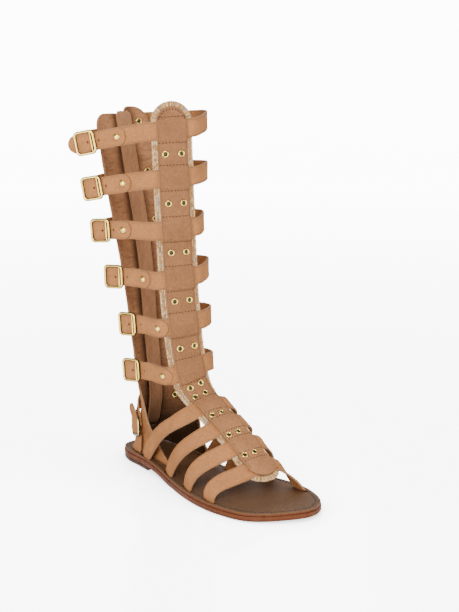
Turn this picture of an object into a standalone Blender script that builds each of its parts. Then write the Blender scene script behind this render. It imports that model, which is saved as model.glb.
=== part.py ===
"""Tall gladiator sandal, right shoe: sole, woven-edged front strip with straps, back panels, zip and buckles.

Sizes are in millimetres until mesh_object() turns them into metres. While it is drawn, the sandal stands
on z = 0 with the back of its sole at y = 0, its toe towards -Y and its outer (lateral) side at -X.
stand_on_origin() then moves all of it so that the middle of its bounding box is over the origin.
"""
import math

import bmesh
import bpy
from mathutils import Matrix, Vector

MM = 0.001
GAP = 0.3

# ---------------------------------------------------------------- driving dimensions

SOLE_LENGTH = 252.0
OUTSOLE_THICKNESS = 4.4
FOOTBED_THICKNESS = 2.3
FOOTBED_INSET = 0.7
HEEL_LIFT_THICKNESS = 3.4
HEEL_LIFT_LENGTH = 62.0
WAIST_END = 112.0
TOE_SPRING_START = 206.0
TOE_SPRING = 2.2

BAND_WIDTH = 37.0
BAND_THICKNESS = 1.6
OVERLAY_WIDTH = 26.0
OVERLAY_THICKNESS = 1.5
OVERLAY_END_INSET = 5.0
BAND_STEP = 9.0
STRAP_THICKNESS = 2.0
STRAP_SINK = 0.6
SHAFT_STRAP_WIDTH = 16.6
FOOT_STRAP_WIDTH = 16.5
FOOT_STRAP_END_WIDTH = 14.5
STRAP_END_DEPTH = 7.0
SLOT_CUTTER_LENGTH = 44.0
TRIM_DEPTH = 30.0                  # of the block that ends the straps above the outsole
STRAP_TILT = 0.05

PANEL_THICKNESS = 2.0
LATERAL_PANEL_TOP = 328.0
MEDIAL_PANEL_TOP = 334.0
PANEL_CORNER = 14.0
WING_TURN = 85.5
ZIP_HALF_GAP = 3.0
ZIP_TAPE_WIDTH = 15.0
ZIP_TAPE_THICKNESS = 1.0
ZIP_CHAIN_WIDTH = 5.0
ZIP_CHAIN_THICKNESS = 2.2
ZIP_BOTTOM = 16.0
ZIP_TOP = 318.0
ZIP_TAPE_END = 3.0                 # tape beyond each end of the chain
GUARD_WIDTH = 17.0
GUARD_THICKNESS = 1.4
GUARD_BOTTOM = 31.0
GUARD_TOP = LATERAL_PANEL_TOP + 2.0
SLIDER_HEIGHT = 306.0
SLIDER_KEEL = (4.2, 10.0, 1.0)
SLIDER_PLATE = (8.4, 11.0, 1.4)
BAIL_WIRE = 1.4
BAIL_HALF_WIDTH = 3.0
BAIL_RISE = 2.6
PULL_EYE_DIAMETER = 4.0
PULL_BORE = 2.4
PULL_EYE_LENGTH = 3.9
PULL_LENGTH = 25.0
PULL_WIDTH = 6.0
PULL_THICKNESS = 1.2

BUCKLE_WIDTH = 20.0
BUCKLE_HEIGHT = 22.0
BUCKLE_WIRE = 2.0
BUCKLE_BAR_DROP = 1.2
STRAP_HUMP = 3.2
HUMP_HALF_LENGTH = 7.5

RIVET_DIAMETER = 4.6
RIVET_TOP_SHARE = 0.54
RIVET_HEIGHT = 1.5
RIVET_SEAT = 1.0

# Half widths of the sole on either side of the line through the middle of the heel.
SOLE_OUTLINE = [
    # from heel, lateral, medial
    (5.0, 18.5, 19.5),
    (24.0, 27.0, 28.2),
    (46.0, 28.3, 28.0),
    (85.0, 32.4, 25.0),
    (114.0, 38.2, 27.4),
    (144.0, 44.3, 37.6),
    (174.0, 46.8, 46.8),
    (200.0, 44.0, 49.0),
    (226.0, 34.6, 42.0),
    (243.0, 14.0, 30.0),
]
TOE_TIP_SIDE = 11.5

# The middle line of the front strip, from its top down the shin and over the instep to its toe end.
# turn is how far the strip faces the lateral side, in degrees, and curl the radius it bends across.
STRIP_LINE = [
    # side, from heel, height, turn, curl
    (-16.6, 87.0, 341.5, 27.0, 52.0),
    (-15.7, 88.0, 312.7, 26.0, 50.0),
    (-15.1, 90.0, 269.0, 24.0, 48.0),
    (-14.7, 92.6, 226.6, 22.0, 46.0),
    (-14.2, 95.6, 182.8, 19.0, 44.0),
    (-12.0, 99.0, 138.5, 16.0, 42.0),
    (-8.2, 102.0, 104.5, 12.0, 42.0),
    (-5.0, 105.0, 88.5, 9.0, 44.0),
    (-2.0, 112.0, 79.0, 5.0, 46.0),
    (-0.4, 122.0, 72.4, 3.0, 50.0),
    (1.0, 137.0, 64.2, 0.0, 52.0),
    (3.6, 154.0, 53.8, 0.0, 52.0),
    (5.6, 173.0, 41.0, 0.0, 50.0),
    (6.6, 190.0, 29.6, 2.0, 48.0),
    (6.8, 203.0, 21.8, 4.0, 46.0),
]

# Shaft straps from the top down. Each crosses the strip at its height and runs to its buckle at the back of
# the lateral side. Round the calf it reaches the medial back panel.
SHAFT_STRAPS = [
    # height, buckle: side, from heel, height, rivet; panel height; calf: side, from heel, height
    (317.0, -69.0, 29.0, 304.0, 31.0, 306.5, 42.0, 56.0, 323.0),
    (274.5, -64.0, 31.0, 263.5, 31.0, 266.0, 41.0, 58.0, 277.0),
    (229.5, -57.0, 33.0, 225.0, 24.0, 226.5, 33.5, 62.0, 232.0),
    (186.0, -49.3, 42.3, 183.3, 34.0, 181.0, 39.0, 63.0, 188.0),
    (145.0, -39.4, 49.2, 139.4, 41.0, 134.5, 39.0, 67.0, 143.0),
    (102.5, -36.3, 49.8, 95.8, 43.0, 90.5, 37.0, 73.0, 99.5),
]
STRAP_CALF_DROP = 3.0
EDGE_STAND_OFF = 2.4
STRAP_END_REACH = 8.0
TOP_STRAP_TIP = 16.5
STRAP_TIP = 9.0
TIP_SHARE = 0.62

# Foot straps from the instep to the toe: where each crosses the strip and where its two ends stand in the
# footbed, how far in from the sole's edge, with how high each rises before it bends over and how it flares.
FOOT_STRAPS = [
    # crossing; lateral end: from heel, inset, rise, flare; medial end: from heel, inset, rise, flare
    (122.5, 54.0, 3.6, 34.0, 0.15, 92.0, 8.0, 36.0, 0.55),
    (145.0, 101.0, 4.6, 30.0, 0.15, 124.0, 8.0, 34.0, 0.30),
    (166.5, 143.0, 5.2, 24.0, 0.20, 160.0, 8.0, 24.0, 0.10),
    (188.0, 179.0, 5.6, 17.0, 0.25, 202.0, 8.0, 10.0, -0.60),
]

# Pairs of rivets on the strip, from the top down.
STRIP_RIVETS = [
    # distance along the strip, lateral, medial
    (46.0, -6.6, 6.8),
    (89.5, -6.0, 6.8),
    (133.0, -6.0, 6.8),
    (176.5, -6.0, 6.8),
    (219.0, -6.2, 6.8),
    (256.0, -6.2, 4.6),
    (266.5, -7.6, 3.0),
    (293.5, -8.0, 2.2),
    (318.5, -8.4, 2.0),
    (343.5, -8.0, 2.0),
]

# The back of the leg: the zip line, the radius of the back panels there, and how far each panel reaches
# round from the zip, measured along the leather.
BACK_LINE = [
    # height, side, from heel, radius, lateral reach, medial reach
    (8.0, 0.8, 10.0, 18.5, 98.0, 98.0),
    (16.0, 1.2, 12.5, 18.5, 79.0, 83.0),
    (28.0, 2.0, 16.5, 19.0, 57.0, 69.0),
    (42.0, 2.5, 20.0, 21.0, 41.0, 60.0),
    (60.0, 3.0, 23.0, 24.0, 34.0, 45.0),
    (90.0, 2.0, 22.5, 31.0, 28.5, 34.5),
    (130.0, 0.0, 20.0, 36.0, 29.0, 32.0),
    (180.0, -2.0, 17.5, 44.0, 34.0, 29.0),
    (230.0, -5.5, 13.0, 52.0, 37.0, 27.0),
    (280.0, -10.5, 6.5, 58.0, 36.0, 27.0),
    (334.0, -15.5, 0.0, 66.0, 34.0, 26.0),
]

# The heel strap stands in the footbed beside the lateral counter, leans back up to its buckle and goes
# round behind the ankle to the medial panel. Its reach is measured from the zip as the panels' is.
HEEL_STRAP = [
    # reach, height, stand-off
    (-30.5, 1.5, 0.6),
    (-29.5, 12.0, 0.6),
    (-28.5, 22.0, 0.8),
    (-26.0, 35.0, 1.0),
    (-21.0, 46.0, 1.2),
    (-13.0, 55.0, 1.2),
    (-4.0, 60.5, 1.2),
    (5.0, 62.0, 1.2),
    (14.0, 61.5, 1.2),
    (23.0, 60.0, 1.3),
    (29.0, 58.5, 1.4),
]
HEEL_BUCKLE_ROW = 3

LEATHER = (0.53, 0.29, 0.15, 1.0)
PANEL_LEATHER = (0.30, 0.14, 0.07, 1.0)
FOOTBED_BROWN = (0.20, 0.12, 0.075, 1.0)
SOLE_EDGE = (0.27, 0.085, 0.03, 1.0)
HEEL_BLACK = (0.03, 0.022, 0.018, 1.0)
PALE_GOLD = (0.80, 0.62, 0.33, 1.0)
TAPE_BROWN = (0.16, 0.09, 0.05, 1.0)


# ---------------------------------------------------------------- small maths

def blend(a, b, t):
    return a + (b - a) * t


def ease(t):
    t = min(max(t, 0.0), 1.0)
    return t * t * (3.0 - 2.0 * t)


def table_value(rows, key, column):
    """Reads a column at a key between rows, along a smooth curve through the rows."""
    keys = [row[0] for row in rows]
    if keys[0] > keys[-1]:
        rows = rows[::-1]
        keys = keys[::-1]
    i = 0
    while i < len(keys) - 2 and key > keys[i + 1]:
        i += 1
    t = min(max((key - keys[i]) / (keys[i + 1] - keys[i]), 0.0), 1.0)
    values = [row[column] for row in rows]
    step = keys[i + 1] - keys[i]

    def slope(j):
        low, high = max(j - 1, 0), min(j + 1, len(keys) - 1)
        return (values[high] - values[low]) / (keys[high] - keys[low])

    a, b = values[i], values[i + 1]
    slope_a, slope_b = slope(i) * step, slope(i + 1) * step
    return (a * (1 + 2 * t) * (1 - t) ** 2 + slope_a * t * (1 - t) ** 2
            + b * t * t * (3 - 2 * t) - slope_b * t * t * (1 - t))


def through(points, steps, closed=False, values=None):
    """A smooth curve through the points (centripetal Catmull-Rom), with steps pieces between two points.

    With values, the curve runs through those instead, timed by the distances between the points."""
    count = len(points)
    values = values or points
    curve = []

    def pick(items, i):
        if closed or 0 <= i < count:
            return items[i % count]
        return items[0] * 2 - items[1] if i < 0 else items[-1] * 2 - items[-2]

    for i in range(count if closed else count - 1):
        near = [pick(points, i + j) for j in (-1, 0, 1, 2)]
        p0, p1, p2, p3 = [pick(values, i + j) for j in (-1, 0, 1, 2)]
        t1 = math.sqrt((near[1] - near[0]).length)
        t2 = t1 + math.sqrt((near[2] - near[1]).length)
        t3 = t2 + math.sqrt((near[3] - near[2]).length)
        for step in range(steps):
            t = blend(t1, t2, step / steps)
            a = p0.lerp(p1, t / t1)
            b = p1.lerp(p2, (t - t1) / (t2 - t1))
            c = p2.lerp(p3, (t - t2) / (t3 - t2))
            d = a.lerp(b, t / t2)
            e = b.lerp(c, (t - t1) / (t3 - t1))
            curve.append(d.lerp(e, (t - t1) / (t2 - t1)))
    if not closed:
        curve.append(values[-1].copy())
    return curve


def tangents(path):
    """Unit directions along an open path."""
    last = len(path) - 1
    return [(path[min(i + 1, last)] - path[max(i - 1, 0)]).normalized() for i in range(last + 1)]


def square_to(direction, tangent):
    """The part of a direction that is square to the tangent, as a unit vector."""
    return (direction - tangent * direction.dot(tangent)).normalized()


# ---------------------------------------------------------------- Blender helpers

def material(name, colour, roughness, metallic=0.0):
    made = bpy.data.materials.new(name)
    made.use_nodes = True
    shader = made.node_tree.nodes["Principled BSDF"]
    shader.inputs["Base Color"].default_value = colour
    shader.inputs["Roughness"].default_value = roughness
    shader.inputs["Metallic"].default_value = metallic
    made.diffuse_color = colour
    return made


def mesh_object(name, shape, made_of, collection):
    """Turns a bmesh drawn in millimetres into an object in metres."""
    bmesh.ops.scale(shape, vec=(MM, MM, MM), verts=shape.verts)
    mesh = bpy.data.meshes.new(name)
    shape.to_mesh(mesh)
    shape.free()
    if made_of:
        mesh.materials.append(made_of)
    thing = bpy.data.objects.new(name, mesh)
    collection.objects.link(thing)
    return thing


def apply_modifiers(thing):
    """Replaces an object's mesh with what its modifiers make of it."""
    graph = bpy.context.evaluated_depsgraph_get()
    mesh = bpy.data.meshes.new_from_object(thing.evaluated_get(graph))
    thing.modifiers.clear()
    thing.data = mesh
    return thing


def sheet(name, along, across, place, thickness, made_of, collection):
    """A grid of along by across cells, laid out by place(u, v) for u and v from 0 to 1, given a thickness."""
    shape = bmesh.new()
    bmesh.ops.create_grid(shape, x_segments=along, y_segments=across, size=0.5)
    for vert in shape.verts:
        vert.co = place(vert.co.x + 0.5, vert.co.y + 0.5)
    shape.normal_update()
    thing = mesh_object(name, shape, made_of, collection)
    wall = thing.modifiers.new("wall", "SOLIDIFY")
    wall.thickness = thickness * MM
    wall.offset = 0.0
    wall.use_quality_normals = True
    return apply_modifiers(thing)


def ribbon(name, path, outward, width, thickness, made_of, collection, columns=1):
    """A flat strap along a path: outward gives the way each point of it faces, width may be a function."""
    along = tangents(path)
    last = len(path) - 1

    def place(u, v):
        i = round(u * last)
        facing = square_to(outward[i], along[i])
        side = along[i].cross(facing)
        wide = width(i) if callable(width) else width
        return path[i] - side * wide * (v - 0.5)

    return sheet(name, last, columns, place, thickness, made_of, collection)


def join_solids(thing, others, solver="EXACT"):
    """Boolean union of the others into the first one, which keeps its name."""
    for other in others:
        union = thing.modifiers.new("join", "BOOLEAN")
        union.operation = "UNION"
        union.solver = solver
        union.object = other
        apply_modifiers(thing)
        bpy.data.objects.remove(other)
    return thing


def cut(thing, cutters):
    for cutter in cutters:
        cutter.hide_render = True
        cutter.display_type = "WIRE"
        difference = thing.modifiers.new("cut", "BOOLEAN")
        difference.operation = "DIFFERENCE"
        difference.solver = "EXACT"
        difference.object = cutter
    return thing


# ---------------------------------------------------------------- the sole

def sole_outline(inset=0.0, steps=3):
    """Closed outline of the sole in plan: points from the back of the heel, along the outer side first."""
    scale = SOLE_LENGTH / 252.0
    lateral = [Vector((-(row[1] - inset), -row[0] * scale, 0)) for row in SOLE_OUTLINE]
    medial = [Vector((row[2] - inset, -row[0] * scale, 0)) for row in SOLE_OUTLINE]
    heel = [Vector((0.5, -inset, 0))]
    toe = [Vector((TOE_TIP_SIDE, -SOLE_LENGTH + inset, 0))]
    return through(heel + lateral + toe + medial[::-1], steps, closed=True)


def sole_rise(from_heel):
    """Height of the outsole's underside: up on the heel lift, flat under the ball, sprung at the toe."""
    lifted = HEEL_LIFT_THICKNESS + GAP
    back = lifted * (1 - ease((from_heel - HEEL_LIFT_LENGTH) / (WAIST_END - HEEL_LIFT_LENGTH)))
    toe = max(from_heel - TOE_SPRING_START, 0) / (SOLE_LENGTH - TOE_SPRING_START)
    return back + TOE_SPRING * toe * toe


def sole_layer(name, inset, bottom, thickness, made_of, collection, end=None):
    """A slab with the sole's outline, bent to the sole's rise; end is where it stops, from the heel."""
    shape = bmesh.new()
    outline = [shape.verts.new(point) for point in sole_outline(inset)]
    shape.faces.new(outline)
    stations = list(range(10, int(HEEL_LIFT_LENGTH), 17)) + list(range(int(HEEL_LIFT_LENGTH), 250, 12))
    if end:
        stations = [end]
    for station in stations:
        everything = shape.verts[:] + shape.edges[:] + shape.faces[:]
        bmesh.ops.bisect_plane(shape, geom=everything, plane_co=(0, -station, 0), plane_no=(0, -1, 0),
                               clear_outer=bool(end))
    bmesh.ops.recalc_face_normals(shape, faces=shape.faces)
    if shape.faces[0].normal.z < 0:
        bmesh.ops.reverse_faces(shape, faces=shape.faces)
    floor = shape.faces[:]
    grown = bmesh.ops.extrude_face_region(shape, geom=floor)
    upper = [item for item in grown["geom"] if isinstance(item, bmesh.types.BMVert)]
    top = set(upper)
    for vert in shape.verts:
        rise = 0.0 if end else sole_rise(-vert.co.y)
        vert.co.z = rise + bottom + (thickness if vert in top else 0.0)
    bmesh.ops.recalc_face_normals(shape, faces=shape.faces)
    bmesh.ops.triangulate(shape, faces=shape.faces)
    return mesh_object(name, shape, made_of, collection)


def footbed_top(from_heel):
    return sole_rise(from_heel) + OUTSOLE_THICKNESS + GAP + FOOTBED_THICKNESS


def sole_half_width(from_heel, lateral):
    """Half width of the sole at a distance from the heel."""
    return table_value(SOLE_OUTLINE, from_heel, 1 if lateral else 2)


# ---------------------------------------------------------------- the front strip

def strip_frames():
    """The strip's middle line, its direction, facing and curl at every millimetre or so."""
    points = [Vector((row[0], -row[1], row[2])) for row in STRIP_LINE]
    line = through(points, 16)
    turns = through(points, 16, values=[Vector((row[3], row[4], 0)) for row in STRIP_LINE])
    frames = []
    for point, along, shape in zip(line, tangents(line), turns):
        turn = math.radians(shape.x)
        side = square_to(Vector((math.cos(turn), -math.sin(turn), 0)), along)
        frames.append((point, along, side, along.cross(side), shape.y))
    return frames


STRIP = strip_frames()
STRIP_LENGTHS = [0.0]
for before, after in zip(STRIP, STRIP[1:]):
    STRIP_LENGTHS.append(STRIP_LENGTHS[-1] + (after[0] - before[0]).length)
STRIP_TOTAL = STRIP_LENGTHS[-1]


def strip_frame(distance):
    """The strip's frame at a distance from its top end."""
    i = 0
    while i < len(STRIP) - 2 and distance > STRIP_LENGTHS[i + 1]:
        i += 1
    t = (distance - STRIP_LENGTHS[i]) / (STRIP_LENGTHS[i + 1] - STRIP_LENGTHS[i])
    return [blend(a, b, t) for a, b in zip(STRIP[i], STRIP[i + 1])]


def strip_point(distance, sideways, lift):
    """A point on the strip: sideways from its middle line along the curl, lifted off its middle surface."""
    point, along, side, facing, curl = strip_frame(distance)
    angle = sideways / curl
    outward = (facing * math.cos(angle) + side * math.sin(angle)).normalized()
    return point - facing * curl + outward * (curl + lift), outward


def strip_at_height(height):
    for i, frame in enumerate(STRIP):
        if frame[0].z <= height:
            return STRIP_LENGTHS[i]
    return STRIP_TOTAL


def strip_at_station(from_heel):
    for i, frame in enumerate(STRIP):
        if -frame[0].y >= from_heel and frame[0].z < 90:
            return STRIP_LENGTHS[i]
    return STRIP_TOTAL


def strap_crossings():
    """Distances along the strip at which the straps cross it, with their widths."""
    shaft = [(strip_at_height(row[0]), SHAFT_STRAP_WIDTH) for row in SHAFT_STRAPS]
    foot = [(strip_at_station(row[0]), FOOT_STRAP_WIDTH) for row in FOOT_STRAPS]
    return shaft + foot


CROSSINGS = strap_crossings()
STRAP_LIFT = BAND_THICKNESS / 2 - STRAP_SINK + STRAP_THICKNESS / 2
STRAP_OFF_PANEL = PANEL_THICKNESS / 2 + 2 * GAP + STRAP_THICKNESS / 2


def rounded_half_width(distance, start, end, width):
    """Half the width of a band with rounded ends, at a distance along it."""
    radius = width / 2
    into = max(min(distance - start, end - distance), 0.0)
    if into >= radius:
        return radius
    return radius * max(math.sqrt(1 - (1 - into / radius) ** 2), 0.34)


def band_stations(start, end, width, breaks):
    """Distances along the strip for the rows of a band: close at its round ends and at the given breaks."""
    radius = width / 2
    ends = [0.0, 0.06, 0.2, 0.45, 0.75]
    stations = [start + radius * share for share in ends] + [end - radius * share for share in ends]
    stations += breaks
    filled = sorted(s for s in stations if start <= s <= end)
    rows = []
    for a, b in zip(filled, filled[1:]):
        pieces = max(1, round((b - a) / BAND_STEP))
        rows += [blend(a, b, i / pieces) for i in range(pieces)]
    return rows + [end]


def strip_band(name, start, end, width, lift_at, breaks, thickness, columns, made_of, collection):
    """A band of the strip's own shape from one distance to another, lifted by a function of the distance."""
    rows = band_stations(start, end, width, breaks)
    last = len(rows) - 1

    def place(u, v):
        distance = rows[round(u * last)]
        half = rounded_half_width(distance, start, end, width)
        return strip_point(distance, (0.5 - v) * 2 * half, lift_at(distance))[0]

    return sheet(name, last, columns, place, thickness, made_of, collection)


def overlay_lift(distance):
    """The overlay lies on the woven band and rises over each strap that passes under it."""
    flat = BAND_THICKNESS / 2 + 2 * GAP + OVERLAY_THICKNESS / 2
    raised = STRAP_THICKNESS - STRAP_SINK
    rise = 0.0
    for crossing, width in CROSSINGS:
        edge = width / 2 + 0.8
        away = abs(distance - crossing)
        rise = max(rise, 1 - ease((away - edge) / 3.2))
    return flat + raised * rise


def overlay_breaks():
    breaks = []
    for crossing, width in CROSSINGS:
        edge = width / 2 + 0.8
        for side in (-1, 1):
            breaks += [crossing + side * edge, crossing + side * (edge + 3.2)]
    return sorted(breaks)


# ---------------------------------------------------------------- the back of the leg

def back_point(height, reach, lift):
    """A point on the back of the leg: reach along the leather from the zip, lateral side negative."""
    side = table_value(BACK_LINE, height, 1)
    back = table_value(BACK_LINE, height, 2)
    radius = table_value(BACK_LINE, height, 3)
    sign = -1 if reach < 0 else 1
    turn_end = math.radians(WING_TURN)
    angle = min(abs(reach) / radius, turn_end)
    straight = abs(reach) - angle * radius
    outward = Vector((sign * math.sin(angle), math.cos(angle), 0))
    forward = Vector((sign * math.cos(angle), -math.sin(angle), 0))
    centre = Vector((side, -back - radius, height))
    return centre + outward * (radius + lift) + forward * straight, outward


def back_slope(height, reach):
    """The upward direction of the panels' surface at a point of it."""
    return (back_point(height + 8, reach, 0)[0] - back_point(height - 8, reach, 0)[0]).normalized()


def panel(name, lateral, made_of, collection):
    """One back panel: from the zip round the calf, widening at its foot into its half of the counter."""
    sign = -1 if lateral else 1
    top = LATERAL_PANEL_TOP if lateral else MEDIAL_PANEL_TOP
    reach_column = 4 if lateral else 5
    heights = [8.0, 12.0, 18.0, 26.0, 35.0, 46.0, 60.0, 80.0, 105.0, 135.0, 170.0, 205.0, 240.0, 275.0,
               top - 26.0, top - 11.0, top - 4.0, top]
    last = len(heights) - 1

    def place(u, v):
        height = heights[round(u * last)]
        reach = table_value(BACK_LINE, height, reach_column)
        over = max(height - (top - PANEL_CORNER), 0.0) / PANEL_CORNER
        reach -= PANEL_CORNER * (1 - math.sqrt(max(1 - over * over, 0.0)))
        along = blend(ZIP_HALF_GAP, reach, v ** 1.5)
        point = back_point(height, sign * along, 0.0)[0]
        if height == heights[0]:
            point.z = footbed_top(-point.y) + 6 * GAP
        return point

    return sheet(name, last, 8, place, PANEL_THICKNESS, made_of, collection)


# ---------------------------------------------------------------- straps

def strap_landing(height, reach):
    """Points of a strap on a back panel and the slopes there, from the end by the zip to the panel's edge."""
    landing = []
    for share in (STRAP_END_REACH / abs(reach), 0.58, 1.0):
        lift = STRAP_OFF_PANEL + EDGE_STAND_OFF * share ** 2
        landing.append((back_point(height, reach * share, lift)[0], back_slope(height, reach * share)))
    return landing


def front_strap_line(row, tip):
    """The strap from its tip through its buckle, across the strip and round the calf to the medial panel.

    Returns its points and facings, and the buckle's seat: where the buckle is, along which way the strap
    runs there and which way it faces."""
    height, buckle_side, buckle_back, buckle_z, _, _, calf_side, calf_back, calf_z = row
    crossing = strip_at_height(height)
    upright = Vector((0, 0, 1))
    back_z = calf_z - STRAP_CALF_DROP
    medial_reach = table_value(BACK_LINE, back_z, 5)
    buckle_point = Vector((buckle_side, -buckle_back, buckle_z))
    band_edge = strip_point(crossing, -BAND_WIDTH / 2 - 1, STRAP_LIFT)[0]
    run = (band_edge - buckle_point).normalized()
    sway = Vector((run.y, -run.x, 0)).normalized()
    along_strip = strip_frame(crossing)[1]

    points = [buckle_point, buckle_point.lerp(band_edge, 0.5) - sway * 2.5]
    ups = [upright, upright]
    for sideways in (-20.5, -10.5, 0.0, 10.5, 20.5):
        points.append(strip_point(crossing - sideways * STRAP_TILT, sideways, STRAP_LIFT)[0])
        ups.append(-along_strip)
    calf = Vector((calf_side, -calf_back, calf_z))
    landing = strap_landing(back_z, medial_reach)
    middle = calf.lerp(landing[-1][0], 0.5)
    away = middle - back_point(back_z, 0, 0)[0].lerp(strip_frame(crossing)[0], 0.5)
    away.z = 0
    points += [calf, middle + away.normalized() * 7.0] + [point for point, _ in landing[::-1]]
    ups += [upright] * 2 + [slope for _, slope in landing[::-1]]

    path = through(points, 2)
    up_path = through(points, 2, values=ups)
    outward = [square_to(a.cross(u), a) for a, u in zip(tangents(path), up_path)]
    direction, facing = tangents(path)[0], outward[0]
    seat = (path[0], direction, facing)
    start, start_facings = [path[0] - direction * tip], [facing]
    for share in (-1.0, -0.7, -0.4, 0.0, 0.4, 0.7, 1.0):
        hump = STRAP_HUMP * (1 - ease(abs(share)))
        start.append(path[0] + direction * share * HUMP_HALF_LENGTH + facing * hump)
        start_facings.append(facing)
    clear = [i for i, point in enumerate(path) if (point - path[0]).dot(direction) > HUMP_HALF_LENGTH + 3]
    return start + path[clear[0]:], start_facings + outward[clear[0]:], seat


def back_strap_line(row, seat):
    """The short strap from the lateral panel to the back of the buckle, where it meets the front strap."""
    centre, direction, facing = seat
    back_z = row[5]
    reach = table_value(BACK_LINE, back_z, 4)
    landing = strap_landing(back_z, -reach)
    points = [point for point, _ in landing]
    ups = [slope for _, slope in landing] + [Vector((0, 0, 1))] * 2
    under = facing * (STRAP_THICKNESS - STRAP_SINK)
    points.append(centre - direction * (HUMP_HALF_LENGTH + 1.0) - under)
    points.append(centre - direction * 1.0 - under)
    path = through(points, 3)
    up_path = through(points, 3, values=ups)
    return path, [square_to(a.cross(u), a) for a, u in zip(tangents(path), up_path)]


def round_tip(width):
    """Width of a strap along its points, narrower at the first of them."""
    return lambda i: width * (TIP_SHARE if i == 0 else 1.0)


def foot_strap_line(row):
    """Points and facings along a foot strap, from its lateral end in the footbed to its medial end."""
    crossing = strip_at_station(row[0])

    def half(lateral, from_heel, inset, rise, flare):
        sign = -1 if lateral else 1
        reach = sole_half_width(from_heel, lateral) - inset
        base = Vector((sign * reach, -from_heel, footbed_top(from_heel)))
        edge, facing = strip_point(crossing, sign * (BAND_WIDTH / 2 - 1), STRAP_LIFT)
        inner = strip_point(crossing, sign * (BAND_WIDTH / 2 - 4), STRAP_LIFT)[0]
        lean = (edge.y - base.y) * 0.4 / rise
        climb = Vector((sign * flare, lean, 1.0))
        taper = (sole_half_width(from_heel + 4, lateral) - sole_half_width(from_heel - 4, lateral)) / 8
        side_facing = Vector((sign, taper, -sign * flare * 0.5))
        first = base + climb * rise
        bend = 0.34 if lateral else 0.34 * min(rise / 24, 1)
        second = edge + (edge - inner).normalized() * (edge - base).length * bend
        stations = [base - climb * STRAP_END_DEPTH]
        facings = [side_facing]
        steps = 7
        for step in range(steps):
            t = step / steps
            a, b, c = base.lerp(first, t), first.lerp(second, t), second.lerp(edge, t)
            stations.append(a.lerp(b, t).lerp(b.lerp(c, t), t))
            facings.append(side_facing.lerp(facing, ease(t)))
        return stations, facings

    path, outward = half(True, *row[1:5])
    for sideways in (-18.5, -9.5, 0.0, 9.5, 18.5):
        point, facing = strip_point(crossing, sideways, STRAP_LIFT)
        path.append(point)
        outward.append(facing)
    medial_path, medial_outward = half(False, *row[5:9])
    return path + medial_path[::-1], outward + medial_outward[::-1]


def foot_strap_width(count):
    """A foot strap narrows a little towards its two ends."""
    def width(i):
        from_end = min(i, count - 1 - i)
        return blend(FOOT_STRAP_END_WIDTH, FOOT_STRAP_WIDTH, ease(from_end / 6))
    return width


def slot_cutter(name, end, above, facing, width, cutters):
    """A box round the end of a strap, a little larger than the strap on every side and leaning as it does."""
    climb = (above - end).normalized()
    face = square_to(facing, climb)
    side = face.cross(climb)
    turn = Matrix((side, face, climb)).transposed().to_4x4()
    size = Matrix.Diagonal((width + 6 * GAP, STRAP_THICKNESS + 5 * GAP, SLOT_CUTTER_LENGTH, 1.0))
    shape = bmesh.new()
    bmesh.ops.create_cube(shape, size=1.0)
    bmesh.ops.transform(shape, matrix=Matrix.Translation(end) @ turn @ size, verts=shape.verts)
    return mesh_object(name, shape, None, cutters)


def heel_strap_line():
    """Points and facings along the heel strap, with the hump over its buckle's bar, and the buckle's seat."""
    samples = []
    for reach, height, stand_off in HEEL_STRAP:
        point, level = back_point(height, reach, STRAP_OFF_PANEL + stand_off)
        samples.append((point, square_to(level, back_slope(height, reach))))
    points = [point for point, _ in samples]
    path = through(points, 4)
    outward = through(points, 4, values=[facing for _, facing in samples])
    seat_index = HEEL_BUCKLE_ROW * 4
    along = tangents(path)
    facing = square_to(outward[seat_index], along[seat_index])
    centre, direction = path[seat_index].copy(), along[seat_index].copy()
    for i, point in enumerate(path):
        run = (point - centre).dot(direction)
        straight = 1 - ease(((point - centre).length - BUCKLE_WIDTH / 2) / BUCKLE_WIDTH)
        hump = STRAP_HUMP * (1 - ease(abs(run) / HUMP_HALF_LENGTH))
        path[i] = point.lerp(centre + direction * run, straight) + facing * hump
        outward[i] = outward[i].lerp(facing, straight)
    return path, outward, (centre, direction, facing)


# ---------------------------------------------------------------- hardware

def wire_object(name, points, diameter, closed, made_of, collection, resolution=1):
    """A round wire along points, as a closed mesh."""
    curve = bpy.data.curves.new(name, "CURVE")
    curve.dimensions = "3D"
    spline = curve.splines.new("POLY")
    spline.points.add(len(points) - 1)
    for place, point in zip(spline.points, points):
        place.co = (point.x * MM, point.y * MM, point.z * MM, 1.0)
    spline.use_cyclic_u = closed
    curve.bevel_depth = diameter / 2 * MM
    curve.bevel_resolution = resolution
    curve.use_fill_caps = not closed
    drawn = bpy.data.objects.new(name + "_line", curve)
    collection.objects.link(drawn)
    graph = bpy.context.evaluated_depsgraph_get()
    mesh = bpy.data.meshes.new_from_object(drawn.evaluated_get(graph))
    bpy.data.objects.remove(drawn)
    shape = bmesh.new()
    shape.from_mesh(mesh)
    bmesh.ops.remove_doubles(shape, verts=shape.verts, dist=0.00001)
    bmesh.ops.recalc_face_normals(shape, faces=shape.faces)
    shape.to_mesh(mesh)
    shape.free()
    mesh.materials.clear()
    mesh.materials.append(made_of)
    thing = bpy.data.objects.new(name, mesh)
    collection.objects.link(thing)
    return thing


def rounded_rectangle(width, height, radius, corner_steps=2):
    """Corner points of a rounded rectangle round the origin."""
    points = []
    for corner, (sx, sy) in enumerate(((1, 1), (-1, 1), (-1, -1), (1, -1))):
        for step in range(corner_steps + 1):
            angle = math.radians(90 * (corner + step / corner_steps))
            points.append((sx * (width / 2 - radius) + radius * math.cos(angle),
                           sy * (height / 2 - radius) + radius * math.sin(angle)))
    return points


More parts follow.
